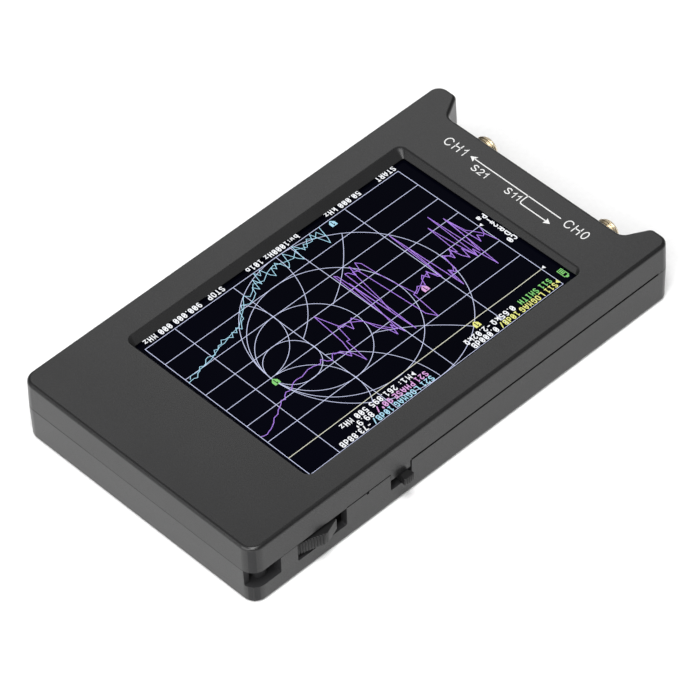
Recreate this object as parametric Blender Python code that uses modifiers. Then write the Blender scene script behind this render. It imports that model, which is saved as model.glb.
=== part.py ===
"""Handheld touch-screen vector network analyzer, lying on its back.

Metres, +Z up. The long axis is Y: the two coaxial ports are in the recess at +Y,
the power slider and the jog lever are on the +X side. The design numbers below are
millimetres in the case's own coordinates (x = 0 on the case's centre plane); the
whole assembly is moved at the end so that the origin is the bottom centre of the
box round everything, sliders included.
"""
import math
import bpy
import bmesh
from mathutils import Matrix, Vector

MM = 0.001

# ---------------------------------------------------------------- driving sizes
CASE_X = 37.2            # half width at the parting line
CASE_Y0 = -65.4          # short end without ports
TIP_Y = 65.3             # ends of the two horns
RECESS_Y = 59.0          # end face between the horns
HORN_TIP_X = 31.1        # inner corner of a horn's tip
HORN_ROOT_X = 27.5       # inner corner of a horn's root
CASE_H = 17.65
PART_Z0, PART_Z1 = 9.88, 10.15      # rear shell's rim, front shell's rim
DRAFT_TOP, DRAFT_BOTTOM = 0.15, 0.22
CORNER_R = 3.6
FILLET_TOP, FILLET_BOTTOM = 0.9, 1.0
WALL = 1.85
FLOOR = 1.6
ROOF_Z = 15.85           # underside of the front plate
LIP_Z = 16.45            # underside of the window's lip
WIN_OUT = (-29.0, 29.6, -41.3, 44.55)   # top edge of the window's slope
WIN_IN = (-26.6, 28.95, -40.6, 43.15)    # bottom edge of the slope

PORT_X, PORT_Z = 19.4, 9.9
PORT_FRONT = 63.9
THREAD_R = 3.17
PCB_Z0, PCB_Z1 = 9.1, 10.7
PCB = (-34.2, 34.2, -52.4, 55.1)

SLIDER_SLOT = (-52.0, -37.3, 4.5)         # y0, y1, bottom
SLIDER_Y = (-51.6, -40.4)                 # the slider at rest
SLIDER_TRAVEL = 3.0
SLIDER_PEAK = 38.75                       # how far out it reaches
JOG_SLOT = (-23.85, -17.45, 4.8)
JOG_TAB = (-23.75, -17.85, 8.0)
JOG_Y = -19.85
JOG_PIVOT_X = 31.4
JOG_OUT = 39.2

CASE_BOSS = [(33.2, -60.4), (-33.2, -60.4), (-33.0, 60.6), (33.0, 60.6)]
PCB_POST = [(32.6, -32.0), (-32.6, -45.0), (-32.6, 47.5), (32.6, 47.5)]

# ---------------------------------------------------------------- scene set-up
for old in list(bpy.data.objects):
    bpy.data.objects.remove(old, do_unlink=True)
scene = bpy.context.scene
scene.unit_settings.system = 'METRIC'
scene.unit_settings.scale_length = 1.0
parts_col = bpy.data.collections.new("handheld_vna")
cut_col = bpy.data.collections.new("cutters")
scene.collection.children.link(parts_col)
scene.collection.children.link(cut_col)

_mats = {}


def material(name, rgb, rough, metal=0.0):
    if name not in _mats:
        m = bpy.data.materials.new(name)
        m.use_nodes = True
        b = m.node_tree.nodes["Principled BSDF"]
        b.inputs["Base Color"].default_value = (*rgb, 1)
        b.inputs["Roughness"].default_value = rough
        b.inputs["Metallic"].default_value = metal
        m.diffuse_color = (*rgb, 1)
        _mats[name] = m
    return _mats[name]


CASE = material("case_abs", (0.035, 0.035, 0.037), 0.55)
KNOB = material("slider_plastic", (0.02, 0.02, 0.021), 0.5)
GLASS = material("touch_glass", (0.005, 0.005, 0.007), 0.08)
LCD = material("lcd_glass", (0.03, 0.03, 0.035), 0.2)
FRAME = material("backlight_frame", (0.75, 0.75, 0.74), 0.45)
FOAM = material("black_foam", (0.01, 0.01, 0.01), 0.95)
GOLD = material("gold_plating", (0.83, 0.62, 0.30), 0.28, 1.0)
PTFE = material("ptfe", (0.85, 0.85, 0.82), 0.5)
BOARD = material("solder_mask", (0.012, 0.018, 0.03), 0.4)
CHIP = material("chip_epoxy", (0.015, 0.015, 0.016), 0.6)
TINNED = material("tinned_steel", (0.62, 0.62, 0.60), 0.32, 1.0)
STEEL = material("black_zinc_steel", (0.09, 0.09, 0.095), 0.4, 1.0)
FLEX = material("polyimide_flex", (0.35, 0.13, 0.03), 0.4)
POUCH = material("battery_foil", (0.42, 0.43, 0.45), 0.35, 0.6)
WIRE_R = material("wire_red", (0.5, 0.02, 0.02), 0.5)
WIRE_B = material("wire_black", (0.02, 0.02, 0.02), 0.5)
NYLON = material("white_nylon", (0.75, 0.73, 0.68), 0.5)
NATURAL = material("switch_body", (0.05, 0.05, 0.05), 0.5)


# ---------------------------------------------------------------- modelling helpers
def finish(bm, name, mat, cutter=False, origin=None, smooth=True):
    bmesh.ops.recalc_face_normals(bm, faces=bm.faces)
    mesh = bpy.data.meshes.new(name)
    bmesh.ops.scale(bm, vec=(MM, MM, MM), verts=bm.verts)
    if origin is not None:
        o = Vector(origin) * MM
        bmesh.ops.translate(bm, vec=-o, verts=bm.verts)
    bm.to_mesh(mesh)
    bm.free()
    obj = bpy.data.objects.new(name, mesh)
    if origin is not None:
        obj.location = Vector(origin) * MM
    (cut_col if cutter else parts_col).objects.link(obj)
    if mat is not None:
        mesh.materials.append(mat)
    if cutter:
        obj.hide_render = True
        obj.display_type = 'WIRE'
    elif smooth:
        mesh.shade_smooth()
        mesh.set_sharp_from_angle(angle=math.radians(35))
    return obj


def add_box(bm, x0, x1, y0, y1, z0, z1):
    made = bmesh.ops.create_cube(bm, size=1.0)
    verts = made["verts"]
    bmesh.ops.scale(bm, vec=(x1 - x0, y1 - y0, z1 - z0), verts=verts)
    bmesh.ops.translate(bm, vec=((x0 + x1) / 2, (y0 + y1) / 2, (z0 + z1) / 2), verts=verts)
    return verts


def box(name, mat, *ext, cutter=False, origin=None):
    bm = bmesh.new()
    add_box(bm, *ext)
    return finish(bm, name, mat, cutter, origin)


def cylinder(name, mat, r, a, b, segs=24, cutter=False, r2=None):
    """A cylinder or cone from point a to point b."""
    a, b = Vector(a), Vector(b)
    d = b - a
    bm = bmesh.new()
    bmesh.ops.create_cone(bm, cap_ends=True, segments=segs, radius1=r,
                          radius2=r if r2 is None else r2, depth=d.length)
    turn = Vector((0, 0, 1)).rotation_difference(d).to_matrix().to_4x4()
    bmesh.ops.transform(bm, matrix=Matrix.Translation((a + b) / 2) @ turn, verts=bm.verts)
    return finish(bm, name, mat, cutter)


def rounded(corners, radii, inset=0.0, steps=6):
    """Outline of a polygon (counter-clockwise) with its edges moved in by inset
    and every corner rounded."""
    n = len(corners)
    lines = []
    for i in range(n):
        p, q = Vector(corners[i]), Vector(corners[(i + 1) % n])
        t = (q - p).normalized()
        normal = Vector((-t.y, t.x))
        lines.append((p + normal * inset, t))
    out = []
    for i in range(n):
        (p0, t0), (p1, t1) = lines[i - 1], lines[i]
        cross = t0.x * t1.y - t0.y * t1.x
        s = ((p1.x - p0.x) * t1.y - (p1.y - p0.y) * t1.x) / cross
        c = p0 + t0 * s
        r = radii[i] + (-inset if cross > 0 else inset)
        r = max(r, 0.35)
        turn = math.atan2(abs(cross), t0.dot(t1))
        side = 1 if cross > 0 else -1
        start = c - t0 * (r * math.tan(turn / 2))
        centre = start + Vector((-t0.y, t0.x)) * r * side
        first = start - centre
        for k in range(steps + 1):
            ang = side * turn * k / steps
            rot = Vector((first.x * math.cos(ang) - first.y * math.sin(ang),
                          first.x * math.sin(ang) + first.y * math.cos(ang)))
            out.append(centre + rot)
    return out


def prism(bm, outline, z0, z1, top=None):
    """Extrudes an outline; top may give the same outline drawn smaller, for draft."""
    verts = [bm.verts.new((p.x, p.y, z0)) for p in outline]
    face = bm.faces.new(verts)
    made = bmesh.ops.extrude_face_region(bm, geom=[face])
    up = [v for v in made["geom"] if isinstance(v, bmesh.types.BMVert)]
    bmesh.ops.translate(bm, vec=(0, 0, z1 - z0), verts=up)
    if top is not None:
        lookup = {(round(p.x, 4), round(p.y, 4)): q for p, q in zip(outline, top)}
        for v in up:
            q = lookup[(round(v.co.x, 4), round(v.co.y, 4))]
            v.co.x, v.co.y = q.x, q.y


def boolean(obj, other, operation='DIFFERENCE'):
    m = obj.modifiers.new(operation.lower() + "_" + other.name, 'BOOLEAN')
    m.operation = operation
    m.solver = 'EXACT'
    m.object = other


def bevel(obj, width, segments=2, angle=35):
    m = obj.modifiers.new("edge_radius", 'BEVEL')
    m.width = width * MM
    m.segments = segments
    m.limit_method = 'ANGLE'
    m.angle_limit = math.radians(angle)
    m.harden_normals = False
    return m


def rect(x0, x1, y0, y1):
    return [(x0, y0), (x1, y0), (x1, y1), (x0, y1)]


def turned(name, mat, profile, at, steps=32, along=None):
    """A solid of revolution: profile (radius, height) runs top to bottom on the outside."""
    mesh = bpy.data.meshes.new(name)
    bm = bmesh.new()
    vs = [bm.verts.new((r * MM, 0, z * MM)) for r, z in profile]
    closed = profile[0][0] > 1e-6
    pairs = list(zip(vs, vs[1:])) + ([(vs[-1], vs[0])] if closed else [])
    for a, b in pairs:
        bm.edges.new((a, b))
    bm.to_mesh(mesh)
    bm.free()
    obj = bpy.data.objects.new(name, mesh)
    parts_col.objects.link(obj)
    mesh.materials.append(mat)
    s = obj.modifiers.new("turn", 'SCREW')
    s.steps = s.render_steps = steps
    s.use_merge_vertices = True
    s.merge_threshold = 1e-5
    s.use_smooth_shade = True
    obj.location = Vector(at) * MM
    if along == 'Y':
        obj.rotation_euler = (-math.pi / 2, 0, 0)
    return obj


# ---------------------------------------------------------------- case outline
CORNERS = [(-CASE_X, CASE_Y0), (CASE_X, CASE_Y0), (CASE_X, TIP_Y), (HORN_TIP_X, TIP_Y),
           (HORN_ROOT_X, RECESS_Y), (-HORN_ROOT_X, RECESS_Y), (-HORN_TIP_X, TIP_Y), (-CASE_X, TIP_Y)]
RADII = [CORNER_R, CORNER_R, 3.0, 1.8, 2.2, 2.2, 1.8, 3.0]


def outline(inset):
    return rounded(CORNERS, RADII, inset)


def boss(name, x, y, r, z0, z1):
    return cylinder(name, None, r, (x, y, z0), (x, y, z1), 20, cutter=True)


# front shell: drafted tray, open downward
bm = bmesh.new()
prism(bm, outline(0.0), PART_Z1, CASE_H, outline(DRAFT_TOP))
front_shell = finish(bm, "front_shell", CASE)
m = bevel(front_shell, FILLET_TOP, 3, 60)
group = front_shell.vertex_groups.new(name="top_edge")
group.add([v.index for v in front_shell.data.vertices if v.co.z > (CASE_H - 0.1) * MM], 1.0, 'REPLACE')
m.limit_method = 'VGROUP'
m.vertex_group = "top_edge"
bm = bmesh.new()
prism(bm, outline(WALL), PART_Z1 - 1.0, ROOF_Z, outline(WALL + 0.1))
front_cavity = finish(bm, "front_cavity", None, cutter=True)
boolean(front_shell, front_cavity)
for i, (x, y) in enumerate(CASE_BOSS):
    boolean(front_shell, boss(f"front_boss_{i}", x, y, 2.3, PART_Z1, ROOF_Z + 0.6), 'UNION')
for i, (x, y) in enumerate(PCB_POST):
    boolean(front_shell, boss(f"front_post_{i}", x, y, 1.9, PCB_Z1 + 0.3, ROOF_Z + 0.6), 'UNION')
tab = box("jog_tab", None, CASE_X - WALL + 0.05, CASE_X - 0.02, JOG_TAB[0], JOG_TAB[1], JOG_TAB[2],
          PART_Z1 + 1.2, cutter=True)
boolean(front_shell, tab, 'UNION')
for i, (x, y) in enumerate(CASE_BOSS + PCB_POST):
    boolean(front_shell, boss(f"front_pilot_{i}", x, y, 1.1, PART_Z1 - 2, 15.2))
# window: a sloping lip, and a shallow pocket behind it for the gasket
bm = bmesh.new()
over = 0.5
k = over / (CASE_H - LIP_Z)
grown = [WIN_OUT[i] + (WIN_OUT[i] - WIN_IN[i]) * k for i in range(4)]
shrunk = [WIN_IN[i] - (WIN_OUT[i] - WIN_IN[i]) * k for i in range(4)]
low = rounded(rect(*shrunk), [0.6] * 4, steps=4)
high = rounded(rect(*grown), [1.9] * 4, steps=4)
prism(bm, low, LIP_Z - over, CASE_H + over, high)
boolean(front_shell, finish(bm, "window_slope", None, cutter=True))
boolean(front_shell, box("gasket_pocket", None, -30.6, 30.8, -43.2, 46.4, ROOF_Z - 0.6, LIP_Z, cutter=True))
port_cut = [cylinder(f"port_hole_{s}", None, 3.55, (s * PORT_X, 55.5, PORT_Z), (s * PORT_X, 61, PORT_Z), 32, cutter=True)
            for s in (-1, 1)]
for c in port_cut:
    boolean(front_shell, c)

# rear shell: drafted tray with screw bosses, battery ribs and rim notches
bm = bmesh.new()
prism(bm, outline(DRAFT_BOTTOM), 0.0, PART_Z0, outline(0.0))
rear_shell = finish(bm, "rear_shell", CASE)
m = bevel(rear_shell, FILLET_BOTTOM, 3)
group = rear_shell.vertex_groups.new(name="bottom_edge")
group.add([v.index for v in rear_shell.data.vertices if v.co.z < 0.1 * MM], 1.0, 'REPLACE')
m.limit_method = 'VGROUP'
m.vertex_group = "bottom_edge"
bm = bmesh.new()
prism(bm, outline(WALL + 0.15), FLOOR, PART_Z0 + 1, outline(WALL))
boolean(rear_shell, finish(bm, "rear_cavity", None, cutter=True))
for i, (x, y) in enumerate(CASE_BOSS):
    boolean(rear_shell, boss(f"rear_boss_{i}", x, y, 2.3 if i == 0 else 2.6, FLOOR - 0.8, PART_Z0), 'UNION')
# strap corner: a pocket round the corner boss, open on both outer faces
POCKET = (29.9, -63.6, -57.05, 5.15)      # inner x, outer wall's inner y, inner y, floor
block = box("strap_block", None, POCKET[0] - 1.3, CASE_X - 1.0, CASE_Y0 + 1.0, POCKET[2] + 1.3,
            FLOOR - 0.8, PART_Z0, cutter=True)
boolean(rear_shell, block, 'UNION')
bm = bmesh.new()
prism(bm, rounded([(POCKET[0], POCKET[1]), (34.1, POCKET[1]), (34.1, CASE_Y0 - 2), (CASE_X + 2, CASE_Y0 - 2),
                   (CASE_X + 2, POCKET[2]), (POCKET[0], POCKET[2])], [1.2, 0.35, 0.35, 0.35, 0.35, 1.2], steps=3),
      POCKET[3], PART_Z0 + 1)
pocket = finish(bm, "strap_pocket", None, cutter=True)
boolean(pocket, boss("strap_post", *CASE_BOSS[0], 2.0, POCKET[3] - 1, PART_Z0 + 2))
boolean(rear_shell, pocket)
# battery bay ribs
for i, e in enumerate([(-26.8, -25.75, -49.0, 15.5), (25.75, 26.7, -49.0, 15.5),
                       (-26.0, 26.0, -50.1, -48.9), (-26.0, 6.0, 15.3, 16.5)]):
    boolean(rear_shell, box(f"bay_rib_{i}", None, *e, FLOOR - 0.4, 5.0, cutter=True), 'UNION')
for i, (x, y) in enumerate(CASE_BOSS):
    boolean(rear_shell, boss(f"rear_hole_{i}", x, y, 1.1, -1, PART_Z0 + 1))
    boolean(rear_shell, boss(f"rear_sink_{i}", x, y, 2.05 if i else 1.95, -1, 1.75))
boolean(rear_shell, box("slider_notch", None, CASE_X - 4, CASE_X + 2, SLIDER_SLOT[0], SLIDER_SLOT[1],
                        SLIDER_SLOT[2], PART_Z0 + 1, cutter=True))
boolean(rear_shell, box("jog_notch", None, CASE_X - 4, CASE_X + 2, JOG_SLOT[0], JOG_SLOT[1],
                        JOG_SLOT[2], PART_Z0 + 1, cutter=True))
boolean(rear_shell, box("pry_notch", None, CASE_X - 0.7, CASE_X + 2, -31.15, -30.45, PART_Z0 - 0.5,
                        PART_Z0 + 1, cutter=True))
for c in port_cut:
    boolean(rear_shell, c)
bm = bmesh.new()
prism(bm, rounded(rect(-4.85, 4.85, 5.25, 9.15), [1.9] * 4, steps=5), 56.0, 61.0)
bmesh.ops.transform(bm, matrix=Matrix(((1, 0, 0, 0), (0, 0, 1, 0), (0, 1, 0, 0), (0, 0, 0, 1))), verts=bm.verts)
boolean(rear_shell, finish(bm, "usb_opening", None, cutter=True))

# ---------------------------------------------------------------- display stack
GLASS_Z = 15.75


def ring(name, mat, outer, inner, z0, z1, r_out=0.5, r_in=0.4):
    bm = bmesh.new()
    prism(bm, rounded(rect(*outer), [r_out] * 4, steps=3), z0, z1)
    obj = finish(bm, name, mat)
    bm = bmesh.new()
    prism(bm, rounded(rect(*inner), [r_in] * 4, steps=3), z0 - 1, z1 + 1)
    boolean(obj, finish(bm, name + "_hole", None, cutter=True))
    return obj


ring("display_gasket", FOAM, (-30.3, 30.5, -42.9, 46.1), (-28.1, 29.5, -41.5, 44.5), 15.95, 16.25)
touch = box("touch_panel", GLASS, -30.3, 30.3, -46.6, 45.9, 14.75, GLASS_Z)
bevel(touch, 0.2, 1)
lcd = box("lcd_panel", LCD, -30.3, 30.3, -49.4, 45.9, 13.1, 14.5)
bevel(lcd, 0.15, 1)
frame = box("lcd_backlight_frame", FRAME, -30.6, 30.6, -49.6, 46.0, 11.3, 12.85)
boolean(frame, box("frame_relief", None, -27.0, 27.0, -45.0, 42.5, 11.0, 11.7, cutter=True))


def ribbon(name, x0, x1, z_top, z_low, y_start, y_bend, y_end, thick=0.22):
    """Flat flex that leaves the glass edge, turns round the board's end and comes back."""
    r = (z_top - z_low) / 2
    pts = [(y_start, z_top)]
    for k in range(0, 9):
        a = math.pi / 2 + math.pi * k / 8
        pts.append((y_bend + r * math.cos(a), z_low + r + r * math.sin(a)))
    pts.append((y_end, z_low))
    bm = bmesh.new()
    left = [bm.verts.new((x0, y, z)) for y, z in pts]
    edges = [bm.edges.new(e) for e in zip(left, left[1:])]
    made = bmesh.ops.extrude_edge_only(bm, edges=edges)
    moved = [v for v in made["geom"] if isinstance(v, bmesh.types.BMVert)]
    bmesh.ops.translate(bm, vec=(x1 - x0, 0, 0), verts=moved)
    obj = finish(bm, name, FLEX)
    s = obj.modifiers.new("thickness", 'SOLIDIFY')
    s.thickness = thick * MM
    s.offset = 0
    return obj


ribbon("lcd_ribbon", -14.0, 12.0, 13.8, 8.45, -49.75, -53.2, -46.6)
ribbon("touch_ribbon", 16.0, 21.0, 15.1, 8.45, -46.95, -53.4, -46.6)


def rounded_box(name, mat, *e, w=0.15):
    o = box(name, mat, *e)
    bevel(o, w, 1)
    return o


# ---------------------------------------------------------------- board and what it carries
bm = bmesh.new()
prism(bm, rounded(rect(*PCB), [1.5] * 4, steps=3), PCB_Z0, PCB_Z1)
main_pcb = finish(bm, "main_pcb", BOARD)
for i, (x, y) in enumerate(PCB_POST):
    boolean(main_pcb, boss(f"pcb_hole_{i}", x, y, 1.15, PCB_Z0 - 1, PCB_Z1 + 1))
U = PCB_Z0 - 0.25          # underside parts start a solder joint below the board
rounded_box("fpc_connector", NYLON, -14.6, 12.6, -46.3, -42.0, U - 1.2, U)
rounded_box("touch_fpc_connector", NYLON, 15.4, 21.6, -46.3, -42.6, U - 1.1, U)
rounded_box("mcu_chip", CHIP, -8.0, 2.0, -26.0, -16.0, U - 1.2, U)
rounded_box("flash_chip", CHIP, 8.0, 13.2, -22.0, -18.0, U - 1.1, U)
rounded_box("clock_chip", CHIP, -2.5, 2.5, 31.0, 34.9, U - 1.0, U)
rounded_box("reference_oscillator", TINNED, -12.2, -9.0, 31.0, 33.5, U - 1.0, U)
rounded_box("codec_chip", CHIP, -7.0, -2.0, 38.4, 43.4, U - 0.95, U)
for n, x in enumerate((-20.0, 5.2, 18.6), 1):
    rounded_box(f"mixer_chip_{n}", CHIP, x, x + 4.9, 38.4, 42.3, U - 1.3, U)
rounded_box("charger_chip", CHIP, 8.0, 11.0, 2.0, 5.0, U - 1.1, U)
rounded_box("power_inductor", CHIP, 14.0, 18.0, 1.6, 5.6, U - 1.7, U, w=0.5)
SHIELD = (-25.0, 25.0, 28.0, 48.0)
ring("rf_shield_frame", TINNED, SHIELD, (SHIELD[0] + 0.5, SHIELD[1] - 0.5, SHIELD[2] + 0.5, SHIELD[3] - 0.5),
     6.7, U, 0.8, 0.35)
lid = box("rf_shield_lid", TINNED, SHIELD[0] - 0.65, SHIELD[1] + 0.65, SHIELD[2] - 0.65, SHIELD[3] + 0.65, 6.05, 8.0)
boolean(lid, box("lid_inside", None, SHIELD[0] - 0.28, SHIELD[1] + 0.28, SHIELD[2] - 0.28, SHIELD[3] + 0.28,
                 6.4, 9.0, cutter=True))

# coaxial ports: turned body with a square flange and four solder legs
for label, s in (("ch1", -1), ("ch0", 1)):
    X = s * PORT_X
    t = PORT_FRONT - 55.4
    body = turned(f"sma_body_{label}", GOLD,
                  [(THREAD_R - 0.3, t), (THREAD_R, t - 0.3), (THREAD_R, 2.3), (THREAD_R - 0.35, 2.0),
                   (THREAD_R - 0.35, 0.4), (2.3, 0.4), (2.3, t)], (X, 55.4, PORT_Z), 32, 'Y')
    flange = box(f"sma_flange_{label}", None, X - 3.2, X + 3.2, 55.4, 57.0, PORT_Z - 3.2, PORT_Z + 3.2, cutter=True)
    boolean(flange, cylinder(f"sma_bore_{label}", None, 2.3, (X, 54, PORT_Z), (X, 59, PORT_Z), 32, cutter=True))
    boolean(body, flange, 'UNION')
    for i, (dx, z0, z1) in enumerate(((-3.1, 11.0, 11.9), (2.1, 11.0, 11.9), (-3.1, 7.9, 8.8), (2.1, 7.9, 8.8))):
        boolean(body, box(f"sma_leg_{label}_{i}", None, X + dx, X + dx + 1.0, 51.4, 56.4, z0, z1, cutter=True), 'UNION')
    ins = PORT_FRONT - 0.25 - 55.5
    turned(f"sma_insulator_{label}", PTFE,
           [(2.0, ins), (2.0, 0.0), (0.95, 0.0), (0.95, ins)], (X, 55.5, PORT_Z), 24, 'Y')
    n = PORT_FRONT - 0.35 - 55.75          # socket contact with a blind front hole
    turned(f"sma_contact_{label}", GOLD,
           [(0.0, n - 2.3), (0.4, n - 2.2), (0.4, n), (0.64, n - 0.15), (0.64, 0.3), (0.35, 0.0), (0.0, 0.0)],
           (X, 55.75, PORT_Z), 20, 'Y')

# USB receptacle under the board, between the ports
USB_Z = 7.2
to_y = Matrix(((1, 0, 0, 0), (0, 0, 1, 0), (0, 1, 0, 0), (0, 0, 0, 1)))
bm = bmesh.new()
prism(bm, rounded(rect(-4.47, 4.47, USB_Z - 1.6, USB_Z + 1.6), [1.45] * 4, steps=5), 51.5, 58.8)
bmesh.ops.transform(bm, matrix=to_y, verts=bm.verts)
usb = finish(bm, "usb_c_shell", TINNED)
bm = bmesh.new()
prism(bm, rounded(rect(-4.17, 4.17, USB_Z - 1.3, USB_Z + 1.3), [1.2] * 4, steps=5), 52.0, 60.0)
bmesh.ops.transform(bm, matrix=to_y, verts=bm.verts)
boolean(usb, finish(bm, "usb_mouth", None, cutter=True))
tongue = rounded_box("usb_c_tongue", CHIP, -3.35, 3.35, 53.6, 57.9, USB_Z - 0.35, USB_Z + 0.35, w=0.12)
boolean(tongue, box("usb_tongue_root", None, -3.7, 3.7, 52.3, 53.9, USB_Z - 0.95, USB_Z + 0.95, cutter=True), 'UNION')

# ---------------------------------------------------------------- power slider
switch = box("power_switch_body", NATURAL, 29.6, 34.4, -52.3, -38.4, 5.4, 8.8)
boolean(switch, box("switch_track", None, 31.4, 35.5, -49.9, -40.9, 6.15, 8.0, cutter=True))


def slider_face(y):
    """Outer surface of the slider: hollow thumb rest rising to a peak, then a plain ramp."""
    y0, y1 = SLIDER_Y
    peak_y, low = -44.8, 36.5
    if y <= peak_y:
        u = (y - y0) / (peak_y - y0)
        return low + (SLIDER_PEAK - low) * (0.78 * u + 0.22 * u * u)
    u = (y - peak_y) / (y1 - peak_y)
    return SLIDER_PEAK - (SLIDER_PEAK - 37.15) * u


pts = [Vector((34.9, SLIDER_Y[1])), Vector((34.9, SLIDER_Y[0]))][::-1]
face = []
RIBS, RIB_PITCH = 9, 0.72
y = SLIDER_Y[0]
for i in range(RIBS):
    a = SLIDER_Y[0] + i * RIB_PITCH
    for f, h in ((0.0, -0.16), (0.3, -0.16), (0.45, 0.06), (0.85, 0.06)):
        yy = a + f * RIB_PITCH
        face.append(Vector((slider_face(yy) + h, yy)))
for yy in (-44.8, -43.4, -42.0, SLIDER_Y[1]):
    face.append(Vector((slider_face(yy), yy)))
# counter-clockwise: down the inner side, then up the outer side
bm = bmesh.new()
prism(bm, [Vector((34.9, SLIDER_Y[1])), Vector((34.9, SLIDER_Y[0]))] + face, 5.5, 9.0)
knob = finish(bm, "power_switch_knob", KNOB, origin=(34.9, (SLIDER_Y[0] + SLIDER_Y[1]) / 2, 7.4))
boolean(knob, box("slider_stub", None, 31.9, 35.3, -49.2, -44.8, 6.5, 7.65, cutter=True), 'UNION')

# ---------------------------------------------------------------- jog lever
jog_body = box("jog_switch_body", NATURAL, 27.0, 34.6, -24.2, -15.4, 4.65, 8.75)
boolean(jog_body, box("jog_space", None, 27.8, 36.0, -23.4, -16.2, 5.05, 8.35, cutter=True))
carrier_empty = bpy.data.objects.new("jog_press_axis", None)
carrier_empty.location = Vector((JOG_PIVOT_X, JOG_Y, 6.5)) * MM
parts_col.objects.link(carrier_empty)
carrier = box("jog_carrier", NATURAL, 29.2, 33.6, JOG_Y - 2.6, JOG_Y + 2.6, 5.33, 5.73)
boolean(carrier, cylinder("jog_pin", None, 0.75, (JOG_PIVOT_X, JOG_Y, 5.5), (JOG_PIVOT_X, JOG_Y, 7.95), 16, cutter=True), 'UNION')
bm = bmesh.new()
HEAD_W = 1.5
lever_pts = []
for k in range(0, 13):                       # round hub
    a = math.radians(52 + (308 - 52) * k / 12)
    lever_pts.append(Vector((JOG_PIVOT_X + 1.9 * math.cos(a), JOG_Y + 1.9 * math.sin(a))))
lever_pts += [Vector((33.6, JOG_Y - 1.05)), Vector((37.6, JOG_Y - 1.15))]
RIBS_J = 5
lever_pts.append(Vector((37.95, JOG_Y - HEAD_W)))
for i in range(RIBS_J):
    for f, h in ((0.0, -0.22), (0.32, 0.0), (0.68, 0.0)):
        yy = JOG_Y - HEAD_W + 2 * HEAD_W * (i + f) / RIBS_J
        crown = 0.22 * (1 - ((yy - JOG_Y) / HEAD_W) ** 2)
        lever_pts.append(Vector((JOG_OUT - 0.22 + crown + h, yy)))
lever_pts.append(Vector((JOG_OUT - 0.44, JOG_Y + HEAD_W)))
lever_pts += [Vector((37.95, JOG_Y + HEAD_W)), Vector((37.6, JOG_Y + 1.15)), Vector((33.6, JOG_Y + 1.05))]
prism(bm, lever_pts, 6.03, 7.8)
lever = finish(bm, "jog_lever", KNOB, origin=(JOG_PIVOT_X, JOG_Y, 6.5))
bm = bmesh.new()
head = [Vector((35.6, JOG_Y - 1.1)), Vector((37.6, JOG_Y - 1.15))] + lever_pts[15:-2] + [
    Vector((37.6, JOG_Y + 1.15)), Vector((35.6, JOG_Y + 1.1))]
prism(bm, head, 5.7, 7.8 - 0.4)
boolean(lever, finish(bm, "jog_head", None, cutter=True), 'UNION')
boolean(lever, cylinder("jog_pin_hole", None, 1.05, (JOG_PIVOT_X, JOG_Y, 4), (JOG_PIVOT_X, JOG_Y, 10), 16, cutter=True))
bpy.context.view_layer.update()
for o in (carrier, lever):
    keep = o.matrix_world.copy()
    o.parent = carrier_empty
    o.matrix_parent_inverse = carrier_empty.matrix_world.inverted()
    o.matrix_world = keep

# ---------------------------------------------------------------- battery
rounded_box("battery_pouch", POUCH, -25.4, 25.4, -47.9, 13.6, 2.45, 6.9, w=0.9)
box("battery_tape", FOAM, -20.0, 20.0, -42.0, 8.0, 1.82, 2.2)


def wire(name, mat, points, r=0.55):
    curve = bpy.data.curves.new(name, 'CURVE')
    curve.dimensions = '3D'
    curve.bevel_depth = r * MM
    curve.bevel_resolution = 2
    curve.use_fill_caps = True
    # smooth centre line through the route's points
    n, line = len(points), []
    P = [Vector(p) for p in points]
    for i in range(n - 1):
        p0, p1, p2, p3 = P[max(i - 1, 0)], P[i], P[i + 1], P[min(i + 2, n - 1)]
        for k in range(4):
            t = k / 4
            line.append(0.5 * ((2 * p1) + (p2 - p0) * t + (2 * p0 - 5 * p1 + 4 * p2 - p3) * t * t
                               + (3 * p1 - p0 - 3 * p2 + p3) * t ** 3))
    line.append(P[-1])
    sp = curve.splines.new('POLY')
    sp.points.add(len(line) - 1)
    for q, p in zip(sp.points, line):
        q.co = (p.x * MM, p.y * MM, p.z * MM, 1)
    o = bpy.data.objects.new(name, curve)
    curve.materials.append(mat)
    parts_col.objects.link(o)
    return o


wire("battery_lead_red", WIRE_R, [(10.0, 14.0, 5.4), (10.2, 15.8, 5.6), (12.4, 17.6, 6.2), (14.4, 19.0, 6.9), (14.9, 20.7, 7.3)])
wire("battery_lead_black", WIRE_B, [(12.6, 14.0, 5.4), (13.0, 15.6, 5.6), (15.6, 17.2, 6.2), (17.2, 18.8, 6.9), (17.5, 20.7, 7.3)])
rounded_box("battery_plug", NYLON, 13.6, 18.8, 21.0, 23.8, 6.2, 8.5, w=0.15)
rounded_box("battery_socket", NYLON, 12.9, 19.5, 24.1, 27.0, 5.9, U, w=0.15)


# ---------------------------------------------------------------- screws
def screw(name, x, y, z_head, head_h, head_r, z_tip, shank_r=0.8):
    """Pan head facing down, shank going up; the head has a cross recess."""
    top = z_tip
    prof = [(0.0, top), (shank_r - 0.35, top), (shank_r, top - 0.5), (shank_r, z_head + head_h),
            (head_r, z_head + head_h), (head_r, z_head + 0.35), (head_r - 0.4, z_head), (0.0, z_head)]
    o = turned(name, STEEL, prof, (x, y, 0), 20)
    bm = bmesh.new()
    add_box(bm, x - 0.95, x + 0.95, y - 0.22, y + 0.22, z_head - 0.5, z_head + 0.75)
    a = finish(bm, name + "_slot_a", None, cutter=True)
    bm = bmesh.new()
    add_box(bm, x - 0.22, x + 0.22, y - 0.95, y + 0.95, z_head - 0.5, z_head + 0.72)
    b = finish(bm, name + "_slot_b", None, cutter=True)
    boolean(o, a)
    boolean(o, b)


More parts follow.
